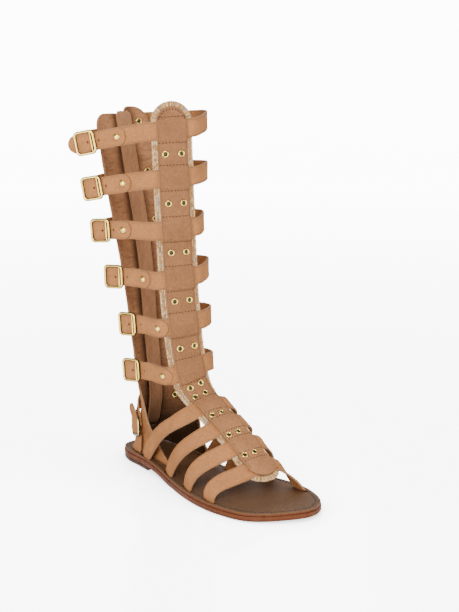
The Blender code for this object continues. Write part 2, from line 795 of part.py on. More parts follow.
def buckle(name, seat, made_of, collection):
    """A centre-bar buckle on a strap: its frame lies on the strap and its bar passes behind the hump."""
    centre, along, facing = seat
    up = facing.cross(along)
    level = STRAP_THICKNESS / 2 + GAP + BUCKLE_WIRE / 2
    frame_centre = centre + facing * level

    def at(x, y, out=0.0):
        return frame_centre + along * x + up * y + facing * out

    inner_width = BUCKLE_WIDTH - BUCKLE_WIRE
    inner_height = BUCKLE_HEIGHT - BUCKLE_WIRE
    frame = wire_object(name, [at(x, y) for x, y in rounded_rectangle(inner_width, inner_height, 3.2)],
                        BUCKLE_WIRE, True, made_of, collection)
    half = inner_height / 2
    drop = -BUCKLE_BAR_DROP
    bar_points = [at(0, -half), at(0, -half * 0.86, drop), at(0, half * 0.86, drop), at(0, half)]
    bar = wire_object(name + "_bar", bar_points, BUCKLE_WIRE * 0.8, False, made_of, collection)
    join_solids(frame, [bar])
    return frame


def rivet(name, point, facing, along, made_of, collection):
    """A low rivet head standing on a surface at a point of it."""
    shape = bmesh.new()
    bmesh.ops.create_cone(shape, cap_ends=True, segments=8, radius1=RIVET_DIAMETER / 2,
                          radius2=RIVET_DIAMETER / 2 * RIVET_TOP_SHARE, depth=RIVET_HEIGHT)
    side = square_to(along, facing)
    turn = Matrix((side, facing.cross(side), facing)).transposed().to_4x4()
    place = Matrix.Translation(point + facing * (RIVET_HEIGHT / 2 + GAP)) @ turn
    bmesh.ops.transform(shape, matrix=place, verts=shape.verts)
    return mesh_object(name, shape, made_of, collection)


def strip_rivets(made_of, collection):
    for number, (distance, *sides) in enumerate(STRIP_RIVETS, 1):
        along = strip_frame(distance)[1]
        for letter, sideways in zip("ab", sides):
            level = overlay_lift(distance) + OVERLAY_THICKNESS / 2 + RIVET_SEAT
            point, facing = strip_point(distance, sideways, level)
            rivet(f"strip_rivet_{number}{letter}", point, facing, along, made_of, collection)


def strap_rivet(name, path, outward, seat, distance, made_of, collection):
    """The rivet of a shaft strap's tab, at a distance from the middle of its buckle."""
    along = tangents(path)
    travelled = 0.0
    for i in range(1, len(path)):
        if (path[i] - seat[0]).dot(seat[1]) > 0:
            travelled += (path[i] - path[i - 1]).length
        if travelled >= distance:
            facing = square_to(outward[i], along[i])
            return rivet(name, path[i] + facing * STRAP_THICKNESS / 2, facing, along[i], made_of, collection)


def zip_strip(name, width, thickness, lift, bottom, top, made_of, collection):
    """A strip that follows the zip line up the back of the leg, at a lift from the panels' middle."""
    heights = [bottom, 28.0, 42.0, 60.0, 90.0, 130.0, 180.0, 230.0, 280.0, top]
    last = len(heights) - 1

    def place(u, v):
        height = heights[round(u * last)]
        return back_point(height, blend(-width / 2, width / 2, v), lift)[0]

    return sheet(name, last, 2, place, thickness, made_of, collection)


def make_zip(leather, tape, metal, collection):
    """Tape with its closed chain, the guard inside it, and the slider near the top with its pull."""
    tape_lift = -(PANEL_THICKNESS / 2 + 2 * GAP + ZIP_TAPE_THICKNESS / 2)
    zip_tape = zip_strip("zip", ZIP_TAPE_WIDTH, ZIP_TAPE_THICKNESS, tape_lift, ZIP_BOTTOM, ZIP_TOP,
                         tape, collection)
    chain_lift = tape_lift + ZIP_TAPE_THICKNESS / 2 + ZIP_CHAIN_THICKNESS / 2 - GAP
    chain = zip_strip("zip_chain", ZIP_CHAIN_WIDTH, ZIP_CHAIN_THICKNESS, chain_lift,
                      ZIP_BOTTOM + ZIP_TAPE_END, ZIP_TOP - ZIP_TAPE_END, tape, collection)
    join_solids(zip_tape, [chain])
    guard_lift = tape_lift - ZIP_TAPE_THICKNESS / 2 - GAP - GUARD_THICKNESS / 2
    zip_strip("zip_guard", GUARD_WIDTH, GUARD_THICKNESS, guard_lift, GUARD_BOTTOM, GUARD_TOP,
              leather, collection)
    make_slider(chain_lift + ZIP_CHAIN_THICKNESS / 2 + GAP, metal, collection)


def turned_box(name, centre, axes, size, made_of, collection):
    """A box whose three sides lie along the given axes."""
    shape = bmesh.new()
    bmesh.ops.create_cube(shape, size=1.0)
    turn = Matrix(axes).transposed().to_4x4()
    bmesh.ops.transform(shape, matrix=Matrix.Translation(centre) @ turn @ Matrix.Diagonal((*size, 1.0)),
                        verts=shape.verts)
    return mesh_object(name, shape, made_of, collection)


def pin(name, centre, axis, diameter, length, made_of, collection):
    """A straight round pin along an axis."""
    shape = bmesh.new()
    bmesh.ops.create_cone(shape, cap_ends=True, segments=16, radius1=diameter / 2, radius2=diameter / 2,
                          depth=length)
    turn = Vector((0, 0, 1)).rotation_difference(axis).to_matrix().to_4x4()
    bmesh.ops.transform(shape, matrix=Matrix.Translation(centre) @ turn, verts=shape.verts)
    return mesh_object(name, shape, made_of, collection)


def make_slider(lift, metal, collection):
    """The slider: a keel over the chain, a plate over the panels' edges and the bail that holds the pull."""
    point, facing = back_point(SLIDER_HEIGHT, 0.0, lift)
    above = back_point(SLIDER_HEIGHT + 4, 0.0, lift)[0]
    below = back_point(SLIDER_HEIGHT - 4, 0.0, lift)[0]
    up = (above - below).normalized()
    side = up.cross(facing).normalized()
    facing = side.cross(up)
    axes = (side, up, facing)
    keel_rise, plate_rise = SLIDER_KEEL[2], SLIDER_PLATE[2]
    slider = turned_box("zip_slider", point + facing * keel_rise / 2, axes, SLIDER_KEEL, metal, collection)
    plate_centre = point + facing * (keel_rise + plate_rise / 2 - GAP)
    plate = turned_box("slider_plate", plate_centre, axes, SLIDER_PLATE, metal, collection)
    top = plate_centre + facing * plate_rise / 2
    bail_points = [top + side * x + facing * out for x, out in
                   ((-BAIL_HALF_WIDTH, -0.5), (-BAIL_HALF_WIDTH, BAIL_RISE), (BAIL_HALF_WIDTH, BAIL_RISE),
                    (BAIL_HALF_WIDTH, -0.5))]
    bail = wire_object("slider_bail", bail_points, BAIL_WIRE, False, metal, collection)
    join_solids(slider, [plate, bail])

    bar = top + facing * BAIL_RISE
    pull = pin("zip_pull", bar, side, PULL_EYE_DIAMETER, PULL_EYE_LENGTH, metal, collection)
    rows = [0.0, 0.16, 0.26, 0.9, 0.97, 1.0]
    neck = PULL_EYE_LENGTH - GAP
    widths = [neck, neck, PULL_WIDTH, PULL_WIDTH, PULL_WIDTH * 0.8, PULL_WIDTH * 0.5]
    last = len(rows) - 1

    def blade_point(u, v):
        row = round(u * last)
        return bar + side * widths[row] * (v - 0.5) - Vector((0, 0, PULL_LENGTH * rows[row]))

    blade = sheet("pull_blade", last, 1, blade_point, PULL_THICKNESS, metal, collection)
    join_solids(pull, [blade])
    bore = pin("pull_bore", bar, side, PULL_BORE, PULL_EYE_LENGTH + 4, metal, collection)
    opening = pull.modifiers.new("bore", "BOOLEAN")
    opening.object = bore
    apply_modifiers(pull)
    bpy.data.objects.remove(bore)


def stand_on_origin(collection, cutters):
    """Hangs every part on one empty and moves it, so that the sandal's box is centred over the origin."""
    low = Vector((1e9, 1e9, 1e9))
    high = -low
    for thing in collection.objects:
        for vert in thing.data.vertices:
            for axis in range(3):
                low[axis] = min(low[axis], vert.co[axis])
                high[axis] = max(high[axis], vert.co[axis])
    centre = bpy.data.objects.new("sandal_centre", None)
    for thing in list(collection.objects) + list(cutters.objects):
        thing.parent = centre
    collection.objects.link(centre)
    centre.location = (-(low.x + high.x) / 2, -(low.y + high.y) / 2, -low.z)


def main():
    for thing in list(bpy.data.objects):
        bpy.data.objects.remove(thing)
    collection = bpy.data.collections.new("gladiator_sandal")
    cutters = bpy.data.collections.new("cutters")
    bpy.context.scene.collection.children.link(collection)
    bpy.context.scene.collection.children.link(cutters)

    leather = material("leather", LEATHER, 0.75)
    panel_leather = material("panel_leather", PANEL_LEATHER, 0.8)
    footbed_leather = material("footbed_leather", FOOTBED_BROWN, 0.6)
    sole_rubber = material("sole_rubber", SOLE_EDGE, 0.5)
    heel_rubber = material("heel_rubber", HEEL_BLACK, 0.6)
    gold = material("gold", PALE_GOLD, 0.25, 1.0)
    tape = material("zip_tape", TAPE_BROWN, 0.85)

    sole_layer("heel_lift", 0.4, 0.0, HEEL_LIFT_THICKNESS, heel_rubber, collection, end=HEEL_LIFT_LENGTH)
    sole_layer("outsole", 0.0, 0.0, OUTSOLE_THICKNESS, sole_rubber, collection)
    footbed = sole_layer("footbed", FOOTBED_INSET, OUTSOLE_THICKNESS + GAP, FOOTBED_THICKNESS,
                         footbed_leather, collection)

    band = strip_band("upper", 0.0, STRIP_TOTAL, BAND_WIDTH, lambda distance: 0.0,
                      overlay_breaks(), BAND_THICKNESS, 4, leather, collection)
    straps = []
    for number, row in enumerate(SHAFT_STRAPS, 1):
        tip = TOP_STRAP_TIP if number == 1 else STRAP_TIP
        path, outward, seat = front_strap_line(row, tip)
        straps.append(ribbon(f"shaft_strap_{number}", path, outward, round_tip(SHAFT_STRAP_WIDTH),
                             STRAP_THICKNESS, leather, collection))
        back_path, back_outward = back_strap_line(row, seat)
        straps.append(ribbon(f"back_strap_{number}", back_path, back_outward, SHAFT_STRAP_WIDTH - 0.8,
                             STRAP_THICKNESS, leather, collection))
        buckle(f"buckle_{number}", seat, gold, collection)
        strap_rivet(f"strap_rivet_{number}", path, outward, seat, row[4], gold, collection)
    strip_rivets(gold, collection)
    slots = []
    for number, row in enumerate(FOOT_STRAPS, 1):
        path, outward = foot_strap_line(row)
        straps.append(ribbon(f"foot_strap_{number}", path, outward, foot_strap_width(len(path)),
                             STRAP_THICKNESS, leather, collection))
        slots.append(slot_cutter(f"slot_lateral_{number}", path[0], path[1], outward[0],
                                 FOOT_STRAP_END_WIDTH, cutters))
        slots.append(slot_cutter(f"slot_medial_{number}", path[-1], path[-2], outward[-1],
                                 FOOT_STRAP_END_WIDTH, cutters))
    # The straps lap each other by less than their thickness, which EXACT loses.
    join_solids(band, straps, "MANIFOLD")
    trim = sole_layer("strap_trim", -8.0, -TRIM_DEPTH, TRIM_DEPTH + OUTSOLE_THICKNESS + 3 * GAP, None,
                      cutters)
    apply_modifiers(cut(band, [trim]))

    strip_band("strip_overlay", OVERLAY_END_INSET, STRIP_TOTAL - OVERLAY_END_INSET, OVERLAY_WIDTH,
               overlay_lift, overlay_breaks(), OVERLAY_THICKNESS, 3, leather, collection)

    panel("back_panel_lateral", True, panel_leather, collection)
    panel("back_panel_medial", False, panel_leather, collection)
    path, outward, seat = heel_strap_line()
    heel_strap = ribbon("heel_strap", path, outward, SHAFT_STRAP_WIDTH - 1.0, STRAP_THICKNESS, leather,
                        collection)
    apply_modifiers(cut(heel_strap, [trim]))
    slots.append(slot_cutter("slot_heel", path[0], path[1], outward[0], SHAFT_STRAP_WIDTH + 2.4, cutters))
    buckle("buckle_7", seat, gold, collection)
    cut(footbed, slots)
    make_zip(leather, tape, gold, collection)
    stand_on_origin(collection, cutters)


main()
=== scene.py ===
"""Tall gladiator sandal: leather, woven trim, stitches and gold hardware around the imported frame.

Drawn in millimetres with the back of the sole at y = 0, the toe towards -Y and the outer side at -X.
place() turns that drawing into the frame's metres.
"""
import math

import bmesh
import bpy
from mathutils import Matrix, Vector, noise


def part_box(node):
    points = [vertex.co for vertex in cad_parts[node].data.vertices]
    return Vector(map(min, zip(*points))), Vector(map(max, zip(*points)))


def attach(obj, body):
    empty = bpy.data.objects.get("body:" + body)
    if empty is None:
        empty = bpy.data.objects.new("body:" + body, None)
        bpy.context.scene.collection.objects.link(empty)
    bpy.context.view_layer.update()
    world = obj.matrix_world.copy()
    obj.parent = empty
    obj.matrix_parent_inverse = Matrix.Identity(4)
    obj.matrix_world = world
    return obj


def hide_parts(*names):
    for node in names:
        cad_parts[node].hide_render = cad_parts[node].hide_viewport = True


bl_info = {
    "name": "Gladiator sandal looks",
    "version": (1, 0, 0),
    "blender": (4, 5, 0),
    "location": "View3D > Sidebar > Sandal",
    "description": "Leather, woven trim, stitches and hardware of a tall gladiator sandal",
    "category": "Object",
}

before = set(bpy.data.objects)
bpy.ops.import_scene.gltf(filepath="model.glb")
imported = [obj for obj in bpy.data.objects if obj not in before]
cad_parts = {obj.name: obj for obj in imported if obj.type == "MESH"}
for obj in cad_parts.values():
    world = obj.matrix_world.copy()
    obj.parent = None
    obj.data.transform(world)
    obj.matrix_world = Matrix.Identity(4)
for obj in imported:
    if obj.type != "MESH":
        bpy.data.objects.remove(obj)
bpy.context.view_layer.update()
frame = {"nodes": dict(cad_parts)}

MM = 0.001
GAP = 0.3
BODY = "sandal"
# UV maps run along and across a piece at this many units a millimetre, with its middle line at UV_MIDDLE.
UV_PER_MM = 0.01
UV_MIDDLE = 40.0
UP = Vector((0, 0, 1)).freeze()

# ---------------------------------------------------------------- sizes of the frame's own pieces

SOLE_LENGTH = 252.0
OUTSOLE_THICKNESS = 4.4
FOOTBED_THICKNESS = 2.3
FOOTBED_INSET = 0.7
HEEL_LIFT_THICKNESS = 3.4
HEEL_LIFT_LENGTH = 62.0
WAIST_END = 112.0
TOE_SPRING_START = 206.0
TOE_SPRING = 2.2
BAND_WIDTH = 37.0
BAND_THICKNESS = 1.6
OVERLAY_WIDTH = 26.0
OVERLAY_THICKNESS = 1.5
OVERLAY_END_INSET = 5.0
STRAP_THICKNESS = 2.0
STRAP_SINK = 0.6
SHAFT_STRAP_WIDTH = 16.6
FOOT_STRAP_WIDTH = 16.5
FOOT_STRAP_END_WIDTH = 14.5
STRAP_END_DEPTH = 7.0
STRAP_TILT = 0.05
PANEL_THICKNESS = 2.0
LATERAL_PANEL_TOP = 328.0
MEDIAL_PANEL_TOP = 334.0
PANEL_CORNER = 14.0
WING_TURN = 85.5
ZIP_HALF_GAP = 3.0
ZIP_TAPE_WIDTH = 15.0
ZIP_TAPE_THICKNESS = 1.0
ZIP_CHAIN_THICKNESS = 2.2
ZIP_BOTTOM = 16.0
ZIP_TOP = 318.0
GUARD_WIDTH = 17.0
GUARD_THICKNESS = 1.4
GUARD_BOTTOM = 31.0
SLIDER_HEIGHT = 306.0
SLIDER_KEEL = (4.2, 10.0, 1.0)
SLIDER_PLATE = (8.4, 11.0, 1.4)
BAIL_WIRE = 1.4
BAIL_HALF_WIDTH = 3.0
BAIL_RISE = 2.6
PULL_LENGTH = 25.0
PULL_WIDTH = 6.0
PULL_THICKNESS = 1.2
BUCKLE_WIDTH = 20.0
BUCKLE_HEIGHT = 22.0
BUCKLE_WIRE = 2.0
STRAP_HUMP = 3.2
HUMP_HALF_LENGTH = 7.5
TOE_TIP_SIDE = 11.5

# Half widths of the sole on either side of the line through the middle of the heel.
SOLE_OUTLINE = [
    # from heel, lateral, medial
    (5.0, 18.5, 19.5),
    (24.0, 27.0, 28.2),
    (46.0, 28.3, 28.0),
    (85.0, 32.4, 25.0),
    (114.0, 38.2, 27.4),
    (144.0, 44.3, 37.6),
    (174.0, 46.8, 46.8),
    (200.0, 44.0, 49.0),
    (226.0, 34.6, 42.0),
    (243.0, 14.0, 30.0),
]

# The middle line of the front strip, from its top down the shin and over the instep to its toe end.
# turn is how far the strip faces the lateral side, in degrees, and curl the radius it bends across.
STRIP_LINE = [
    # side, from heel, height, turn, curl
    (-16.6, 87.0, 341.5, 27.0, 52.0),
    (-15.7, 88.0, 312.7, 26.0, 50.0),
    (-15.1, 90.0, 269.0, 24.0, 48.0),
    (-14.7, 92.6, 226.6, 22.0, 46.0),
    (-14.2, 95.6, 182.8, 19.0, 44.0),
    (-12.0, 99.0, 138.5, 16.0, 42.0),
    (-8.2, 102.0, 104.5, 12.0, 42.0),
    (-5.0, 105.0, 88.5, 9.0, 44.0),
    (-2.0, 112.0, 79.0, 5.0, 46.0),
    (-0.4, 122.0, 72.4, 3.0, 50.0),
    (1.0, 137.0, 64.2, 0.0, 52.0),
    (3.6, 154.0, 53.8, 0.0, 52.0),
    (5.6, 173.0, 41.0, 0.0, 50.0),
    (6.6, 190.0, 29.6, 2.0, 48.0),
    (6.8, 203.0, 21.8, 4.0, 46.0),
]

# Shaft straps from the top down. Each crosses the strip at its height and runs to its buckle at the back of
# the lateral side. Round the calf it reaches the medial back panel.
SHAFT_STRAPS = [
    # height, buckle: side, from heel, height, rivet; panel height; calf: side, from heel, height
    (317.0, -69.0, 29.0, 304.0, 31.0, 306.5, 42.0, 56.0, 323.0),
    (274.5, -64.0, 31.0, 263.5, 31.0, 266.0, 41.0, 58.0, 277.0),
    (229.5, -57.0, 33.0, 225.0, 24.0, 226.5, 33.5, 62.0, 232.0),
    (186.0, -49.3, 42.3, 183.3, 34.0, 181.0, 39.0, 63.0, 188.0),
    (145.0, -39.4, 49.2, 139.4, 41.0, 134.5, 39.0, 67.0, 143.0),
    (102.5, -36.3, 49.8, 95.8, 43.0, 90.5, 37.0, 73.0, 99.5),
]
STRAP_CALF_DROP = 3.0
EDGE_STAND_OFF = 2.4
# Where the straps are held to the strip's surface on their way across it, sideways from its middle.
SHAFT_STRAP_STATIONS = (-20.5, -10.5, 0.0, 10.5, 20.5)
FOOT_STRAP_STATIONS = (-18.5, -9.5, 0.0, 9.5, 18.5)
STRAP_END_REACH = 8.0
TOP_STRAP_TIP = 16.5
STRAP_TIP = 9.0
INSTEP_TOP = 90.0

# Foot straps from the instep to the toe: where each crosses the strip and where its two ends stand in the
# footbed, how far in from the sole's edge, with how high each rises before it bends over and how it flares.
FOOT_STRAPS = [
    # crossing; lateral end: from heel, inset, rise, flare; medial end: from heel, inset, rise, flare
    (122.5, 54.0, 3.6, 34.0, 0.15, 92.0, 8.0, 36.0, 0.55),
    (145.0, 101.0, 4.6, 30.0, 0.15, 124.0, 8.0, 34.0, 0.30),
    (166.5, 143.0, 5.2, 24.0, 0.20, 160.0, 8.0, 24.0, 0.10),
    (188.0, 179.0, 5.6, 17.0, 0.25, 202.0, 8.0, 10.0, -0.60),
]

# Pairs of rivets on the strip, from the top down.
STRIP_RIVETS = [
    # distance along the strip, lateral, medial
    (46.0, -6.6, 6.8),
    (89.5, -6.0, 6.8),
    (133.0, -6.0, 6.8),
    (176.5, -6.0, 6.8),
    (219.0, -6.2, 6.8),
    (256.0, -6.2, 4.6),
    (266.5, -7.6, 3.0),
    (293.5, -8.0, 2.2),
    (318.5, -8.4, 2.0),
    (343.5, -8.0, 2.0),
]

# The back of the leg: the zip line, the radius of the back panels there, and how far each panel reaches
# round from the zip, measured along the leather.
BACK_LINE = [
    # height, side, from heel, radius, lateral reach, medial reach
    (8.0, 0.8, 10.0, 18.5, 98.0, 98.0),
    (16.0, 1.2, 12.5, 18.5, 79.0, 83.0),
    (28.0, 2.0, 16.5, 19.0, 57.0, 69.0),
    (42.0, 2.5, 20.0, 21.0, 41.0, 60.0),
    (60.0, 3.0, 23.0, 24.0, 34.0, 45.0),
    (90.0, 2.0, 22.5, 31.0, 28.5, 34.5),
    (130.0, 0.0, 20.0, 36.0, 29.0, 32.0),
    (180.0, -2.0, 17.5, 44.0, 34.0, 29.0),
    (230.0, -5.5, 13.0, 52.0, 37.0, 27.0),
    (280.0, -10.5, 6.5, 58.0, 36.0, 27.0),
    (334.0, -15.5, 0.0, 66.0, 34.0, 26.0),
]

# The heel strap stands in the footbed beside the lateral counter, leans back up to its buckle and goes
# round behind the ankle to the medial panel. Its reach is measured from the zip as the panels' is.
HEEL_STRAP = [
    # reach, height, stand-off
    (-30.5, 1.5, 0.6),
    (-29.5, 12.0, 0.6),
    (-28.5, 22.0, 0.8),
    (-26.0, 35.0, 1.0),
    (-21.0, 46.0, 1.2),
    (-13.0, 55.0, 1.2),
    (-4.0, 60.5, 1.2),
    (5.0, 62.0, 1.2),
    (14.0, 61.5, 1.2),
    (23.0, 60.0, 1.3),
    (29.0, 58.5, 1.4),
]
HEEL_BUCKLE_ROW = 3

# ---------------------------------------------------------------- curves

def blend(a, b, t):
    return a + (b - a) * t


def ease(t):
    t = min(max(t, 0.0), 1.0)
    return t * t * (3.0 - 2.0 * t)


def table_value(rows, key, column):
    """Reads a column at a key between rows, along a smooth curve through the rows."""
    keys = [row[0] for row in rows]
    if keys[0] > keys[-1]:
        rows = rows[::-1]
        keys = keys[::-1]
    i = 0
    while i < len(keys) - 2 and key > keys[i + 1]:
        i += 1
    t = min(max((key - keys[i]) / (keys[i + 1] - keys[i]), 0.0), 1.0)
    values = [row[column] for row in rows]
    step = keys[i + 1] - keys[i]

    def slope(j):
        low, high = max(j - 1, 0), min(j + 1, len(keys) - 1)
        return (values[high] - values[low]) / (keys[high] - keys[low])

    a, b = values[i], values[i + 1]
    slope_a, slope_b = slope(i) * step, slope(i + 1) * step
    return (a * (1 + 2 * t) * (1 - t) ** 2 + slope_a * t * (1 - t) ** 2
            + b * t * t * (3 - 2 * t) - slope_b * t * t * (1 - t))


def through(points, steps, closed=False, values=None):
    """A smooth curve through the points (centripetal Catmull-Rom), with steps pieces between two points.

    With values, the curve runs through those instead, timed by the distances between the points."""
    count = len(points)
    values = values or points
    curve = []

    def pick(items, i):
        if closed or 0 <= i < count:
            return items[i % count]
        return items[0] * 2 - items[1] if i < 0 else items[-1] * 2 - items[-2]

    for i in range(count if closed else count - 1):
        near = [pick(points, i + j) for j in (-1, 0, 1, 2)]
        p0, p1, p2, p3 = [pick(values, i + j) for j in (-1, 0, 1, 2)]
        t1 = math.sqrt((near[1] - near[0]).length)
        t2 = t1 + math.sqrt((near[2] - near[1]).length)
        t3 = t2 + math.sqrt((near[3] - near[2]).length)
        for step in range(steps):
            t = blend(t1, t2, step / steps)
            a = p0.lerp(p1, t / t1)
            b = p1.lerp(p2, (t - t1) / (t2 - t1))
            c = p2.lerp(p3, (t - t2) / (t3 - t2))
            d = a.lerp(b, t / t2)
            e = b.lerp(c, (t - t1) / (t3 - t1))
            curve.append(d.lerp(e, (t - t1) / (t2 - t1)))
    if not closed:
        curve.append(values[-1].copy())
    return curve


def tangents(path):
    """Unit directions along an open path."""
    last = len(path) - 1
    return [(path[min(i + 1, last)] - path[max(i - 1, 0)]).normalized() for i in range(last + 1)]


def running_lengths(points):
    """Distances along a path, from 0 at its first point."""
    lengths = [0.0]
    for a, b in zip(points, points[1:]):
        lengths.append(lengths[-1] + (b - a).length)
    return lengths


def square_to(direction, tangent):
    """The part of a direction that is square to the tangent, as a unit vector."""
    return (direction - tangent * direction.dot(tangent)).normalized()


def sole_outline(inset=0.0, steps=3):
    """Closed outline of the sole in plan: points from the back of the heel, along the outer side first."""
    lateral = [Vector((-(row[1] - inset), -row[0], 0)) for row in SOLE_OUTLINE]
    medial = [Vector((row[2] - inset, -row[0], 0)) for row in SOLE_OUTLINE]
    heel = [Vector((0.5, -inset, 0))]
    toe = [Vector((TOE_TIP_SIDE, -SOLE_LENGTH + inset, 0))]
    return through(heel + lateral + toe + medial[::-1], steps, closed=True)


def sole_rise(from_heel):
    """Height of the outsole's underside: up on the heel lift, flat under the ball, sprung at the toe."""
    lifted = HEEL_LIFT_THICKNESS + GAP
    back = lifted * (1 - ease((from_heel - HEEL_LIFT_LENGTH) / (WAIST_END - HEEL_LIFT_LENGTH)))
    toe = max(from_heel - TOE_SPRING_START, 0) / (SOLE_LENGTH - TOE_SPRING_START)
    return back + TOE_SPRING * toe * toe


def footbed_top(from_heel):
    return sole_rise(from_heel) + OUTSOLE_THICKNESS + GAP + FOOTBED_THICKNESS


def sole_half_width(from_heel, lateral):
    """Half width of the sole at a distance from the heel."""
    return table_value(SOLE_OUTLINE, from_heel, 1 if lateral else 2)


def strip_frames():
    """The strip's middle line, its direction, facing and curl at every millimetre or so."""
    points = [Vector((row[0], -row[1], row[2])) for row in STRIP_LINE]
    line = through(points, 16)
    turns = through(points, 16, values=[Vector((row[3], row[4], 0)) for row in STRIP_LINE])
    frames = []
    for point, along, shape in zip(line, tangents(line), turns):
        turn = math.radians(shape.x)
        side = square_to(Vector((math.cos(turn), -math.sin(turn), 0)), along)
        frames.append((point, along, side, along.cross(side), shape.y))
    return frames


STRIP = strip_frames()
STRIP_LENGTHS = running_lengths([frame[0] for frame in STRIP])
STRIP_TOTAL = STRIP_LENGTHS[-1]


def strip_frame(distance):
    """The strip's frame at a distance from its top end."""
    i = 0
    while i < len(STRIP) - 2 and distance > STRIP_LENGTHS[i + 1]:
        i += 1
    t = (distance - STRIP_LENGTHS[i]) / (STRIP_LENGTHS[i + 1] - STRIP_LENGTHS[i])
    return [blend(a, b, t) for a, b in zip(STRIP[i], STRIP[i + 1])]


def strip_point(distance, sideways, lift):
    """A point on the strip: sideways from its middle line along the curl, lifted off its middle surface."""
    point, _, side, facing, curl = strip_frame(distance)
    angle = sideways / curl
    outward = (facing * math.cos(angle) + side * math.sin(angle)).normalized()
    return point - facing * curl + outward * (curl + lift), outward


def first_on_strip(reached):
    """Distance along the strip of the first point of its middle line that passes a test."""
    return next((length for frame, length in zip(STRIP, STRIP_LENGTHS) if reached(frame[0])), STRIP_TOTAL)


def strip_at_height(height):
    return first_on_strip(lambda point: point.z <= height)


def strip_at_station(from_heel):
    return first_on_strip(lambda point: -point.y >= from_heel and point.z < INSTEP_TOP)


def strap_crossings():
    """Distances along the strip at which the straps cross it, with their widths."""
    shaft = [(strip_at_height(row[0]), SHAFT_STRAP_WIDTH) for row in SHAFT_STRAPS]
    foot = [(strip_at_station(row[0]), FOOT_STRAP_WIDTH) for row in FOOT_STRAPS]
    return shaft + foot


CROSSINGS = strap_crossings()
STRAP_LIFT = BAND_THICKNESS / 2 - STRAP_SINK + STRAP_THICKNESS / 2
STRAP_OFF_PANEL = PANEL_THICKNESS / 2 + 2 * GAP + STRAP_THICKNESS / 2


def overlay_lift(distance):
    """The overlay lies on the woven band and rises over each strap that passes under it."""
    flat = BAND_THICKNESS / 2 + 2 * GAP + OVERLAY_THICKNESS / 2
    raised = STRAP_THICKNESS - STRAP_SINK
    rise = 0.0
    for crossing, width in CROSSINGS:
        edge = width / 2 + 0.8
        away = abs(distance - crossing)
        rise = max(rise, 1 - ease((away - edge) / 3.2))
    return flat + raised * rise


def back_point(height, reach, lift):
    """A point on the back of the leg: reach along the leather from the zip, lateral side negative."""
    side, back, radius = (table_value(BACK_LINE, height, column) for column in (1, 2, 3))
    sign = -1 if reach < 0 else 1
    angle = min(abs(reach) / radius, math.radians(WING_TURN))
    straight = abs(reach) - angle * radius
    outward = Vector((sign * math.sin(angle), math.cos(angle), 0))
    forward = Vector((sign * math.cos(angle), -math.sin(angle), 0))
    centre = Vector((side, -back - radius, height))
    return centre + outward * (radius + lift) + forward * straight, outward


def back_slope(height, reach):
    """The upward direction of the panels' surface at a point of it."""
    return (back_point(height + 8, reach, 0)[0] - back_point(height - 8, reach, 0)[0]).normalized()


def strap_landing(height, reach):
    """Points of a strap on a back panel and the slopes there, from the end by the zip to the panel's edge."""
    landing = []
    for share in (STRAP_END_REACH / abs(reach), 0.58, 1.0):
        lift = STRAP_OFF_PANEL + EDGE_STAND_OFF * share ** 2
        landing.append((back_point(height, reach * share, lift)[0], back_slope(height, reach * share)))
    return landing


def facing_path(points, ups, steps):
    """A smooth curve through the points and the way it faces, with ups lying in its face."""
    path = through(points, steps)
    up_path = through(points, steps, values=ups)
    return path, [square_to(a.cross(u), a) for a, u in zip(tangents(path), up_path)]


def front_strap_line(row, tip):
    """The strap from its tip through its buckle, across the strip and round the calf to the medial panel.

    Returns its points and facings, and the buckle's seat: where the buckle is, along which way the strap
    runs there and which way it faces."""
    height, buckle_side, buckle_back, buckle_z, _, _, calf_side, calf_back, calf_z = row
    crossing = strip_at_height(height)
    back_z = calf_z - STRAP_CALF_DROP
    medial_reach = table_value(BACK_LINE, back_z, 5)
    buckle_point = Vector((buckle_side, -buckle_back, buckle_z))
    band_edge = strip_point(crossing, -BAND_WIDTH / 2 - 1, STRAP_LIFT)[0]
    run = (band_edge - buckle_point).normalized()
    sway = Vector((run.y, -run.x, 0)).normalized()
    along_strip = strip_frame(crossing)[1]

    points = [buckle_point, buckle_point.lerp(band_edge, 0.5) - sway * 2.5]
    ups = [UP, UP]
    for sideways in SHAFT_STRAP_STATIONS:
        points.append(strip_point(crossing - sideways * STRAP_TILT, sideways, STRAP_LIFT)[0])
        ups.append(-along_strip)
    calf = Vector((calf_side, -calf_back, calf_z))
    landing = strap_landing(back_z, medial_reach)
    middle = calf.lerp(landing[-1][0], 0.5)
    away = middle - back_point(back_z, 0, 0)[0].lerp(strip_frame(crossing)[0], 0.5)
    away.z = 0
    points += [calf, middle + away.normalized() * 7.0] + [point for point, _ in landing[::-1]]
    ups += [UP] * 2 + [slope for _, slope in landing[::-1]]

    path, outward = facing_path(points, ups, 2)
    direction, facing = tangents(path)[0], outward[0]
    seat = (path[0], direction, facing)
    start, start_facings = [path[0] - direction * tip], [facing]
    for share in (-1.0, -0.7, -0.4, 0.0, 0.4, 0.7, 1.0):
        hump = STRAP_HUMP * (1 - ease(abs(share)))
        start.append(path[0] + direction * share * HUMP_HALF_LENGTH + facing * hump)
        start_facings.append(facing)
    clear = [i for i, point in enumerate(path) if (point - path[0]).dot(direction) > HUMP_HALF_LENGTH + 3]
    return start + path[clear[0]:], start_facings + outward[clear[0]:], seat


def back_strap_line(row, seat):
    """The short strap from the lateral panel to the back of the buckle, where it meets the front strap."""
    centre, direction, facing = seat
    back_z = row[5]
    reach = table_value(BACK_LINE, back_z, 4)
    landing = strap_landing(back_z, -reach)
    points = [point for point, _ in landing]
    ups = [slope for _, slope in landing] + [UP] * 2
    under = facing * (STRAP_THICKNESS - STRAP_SINK)
    points.append(centre - direction * (HUMP_HALF_LENGTH + 1.0) - under)
    points.append(centre - direction * 1.0 - under)
    return facing_path(points, ups, 3)


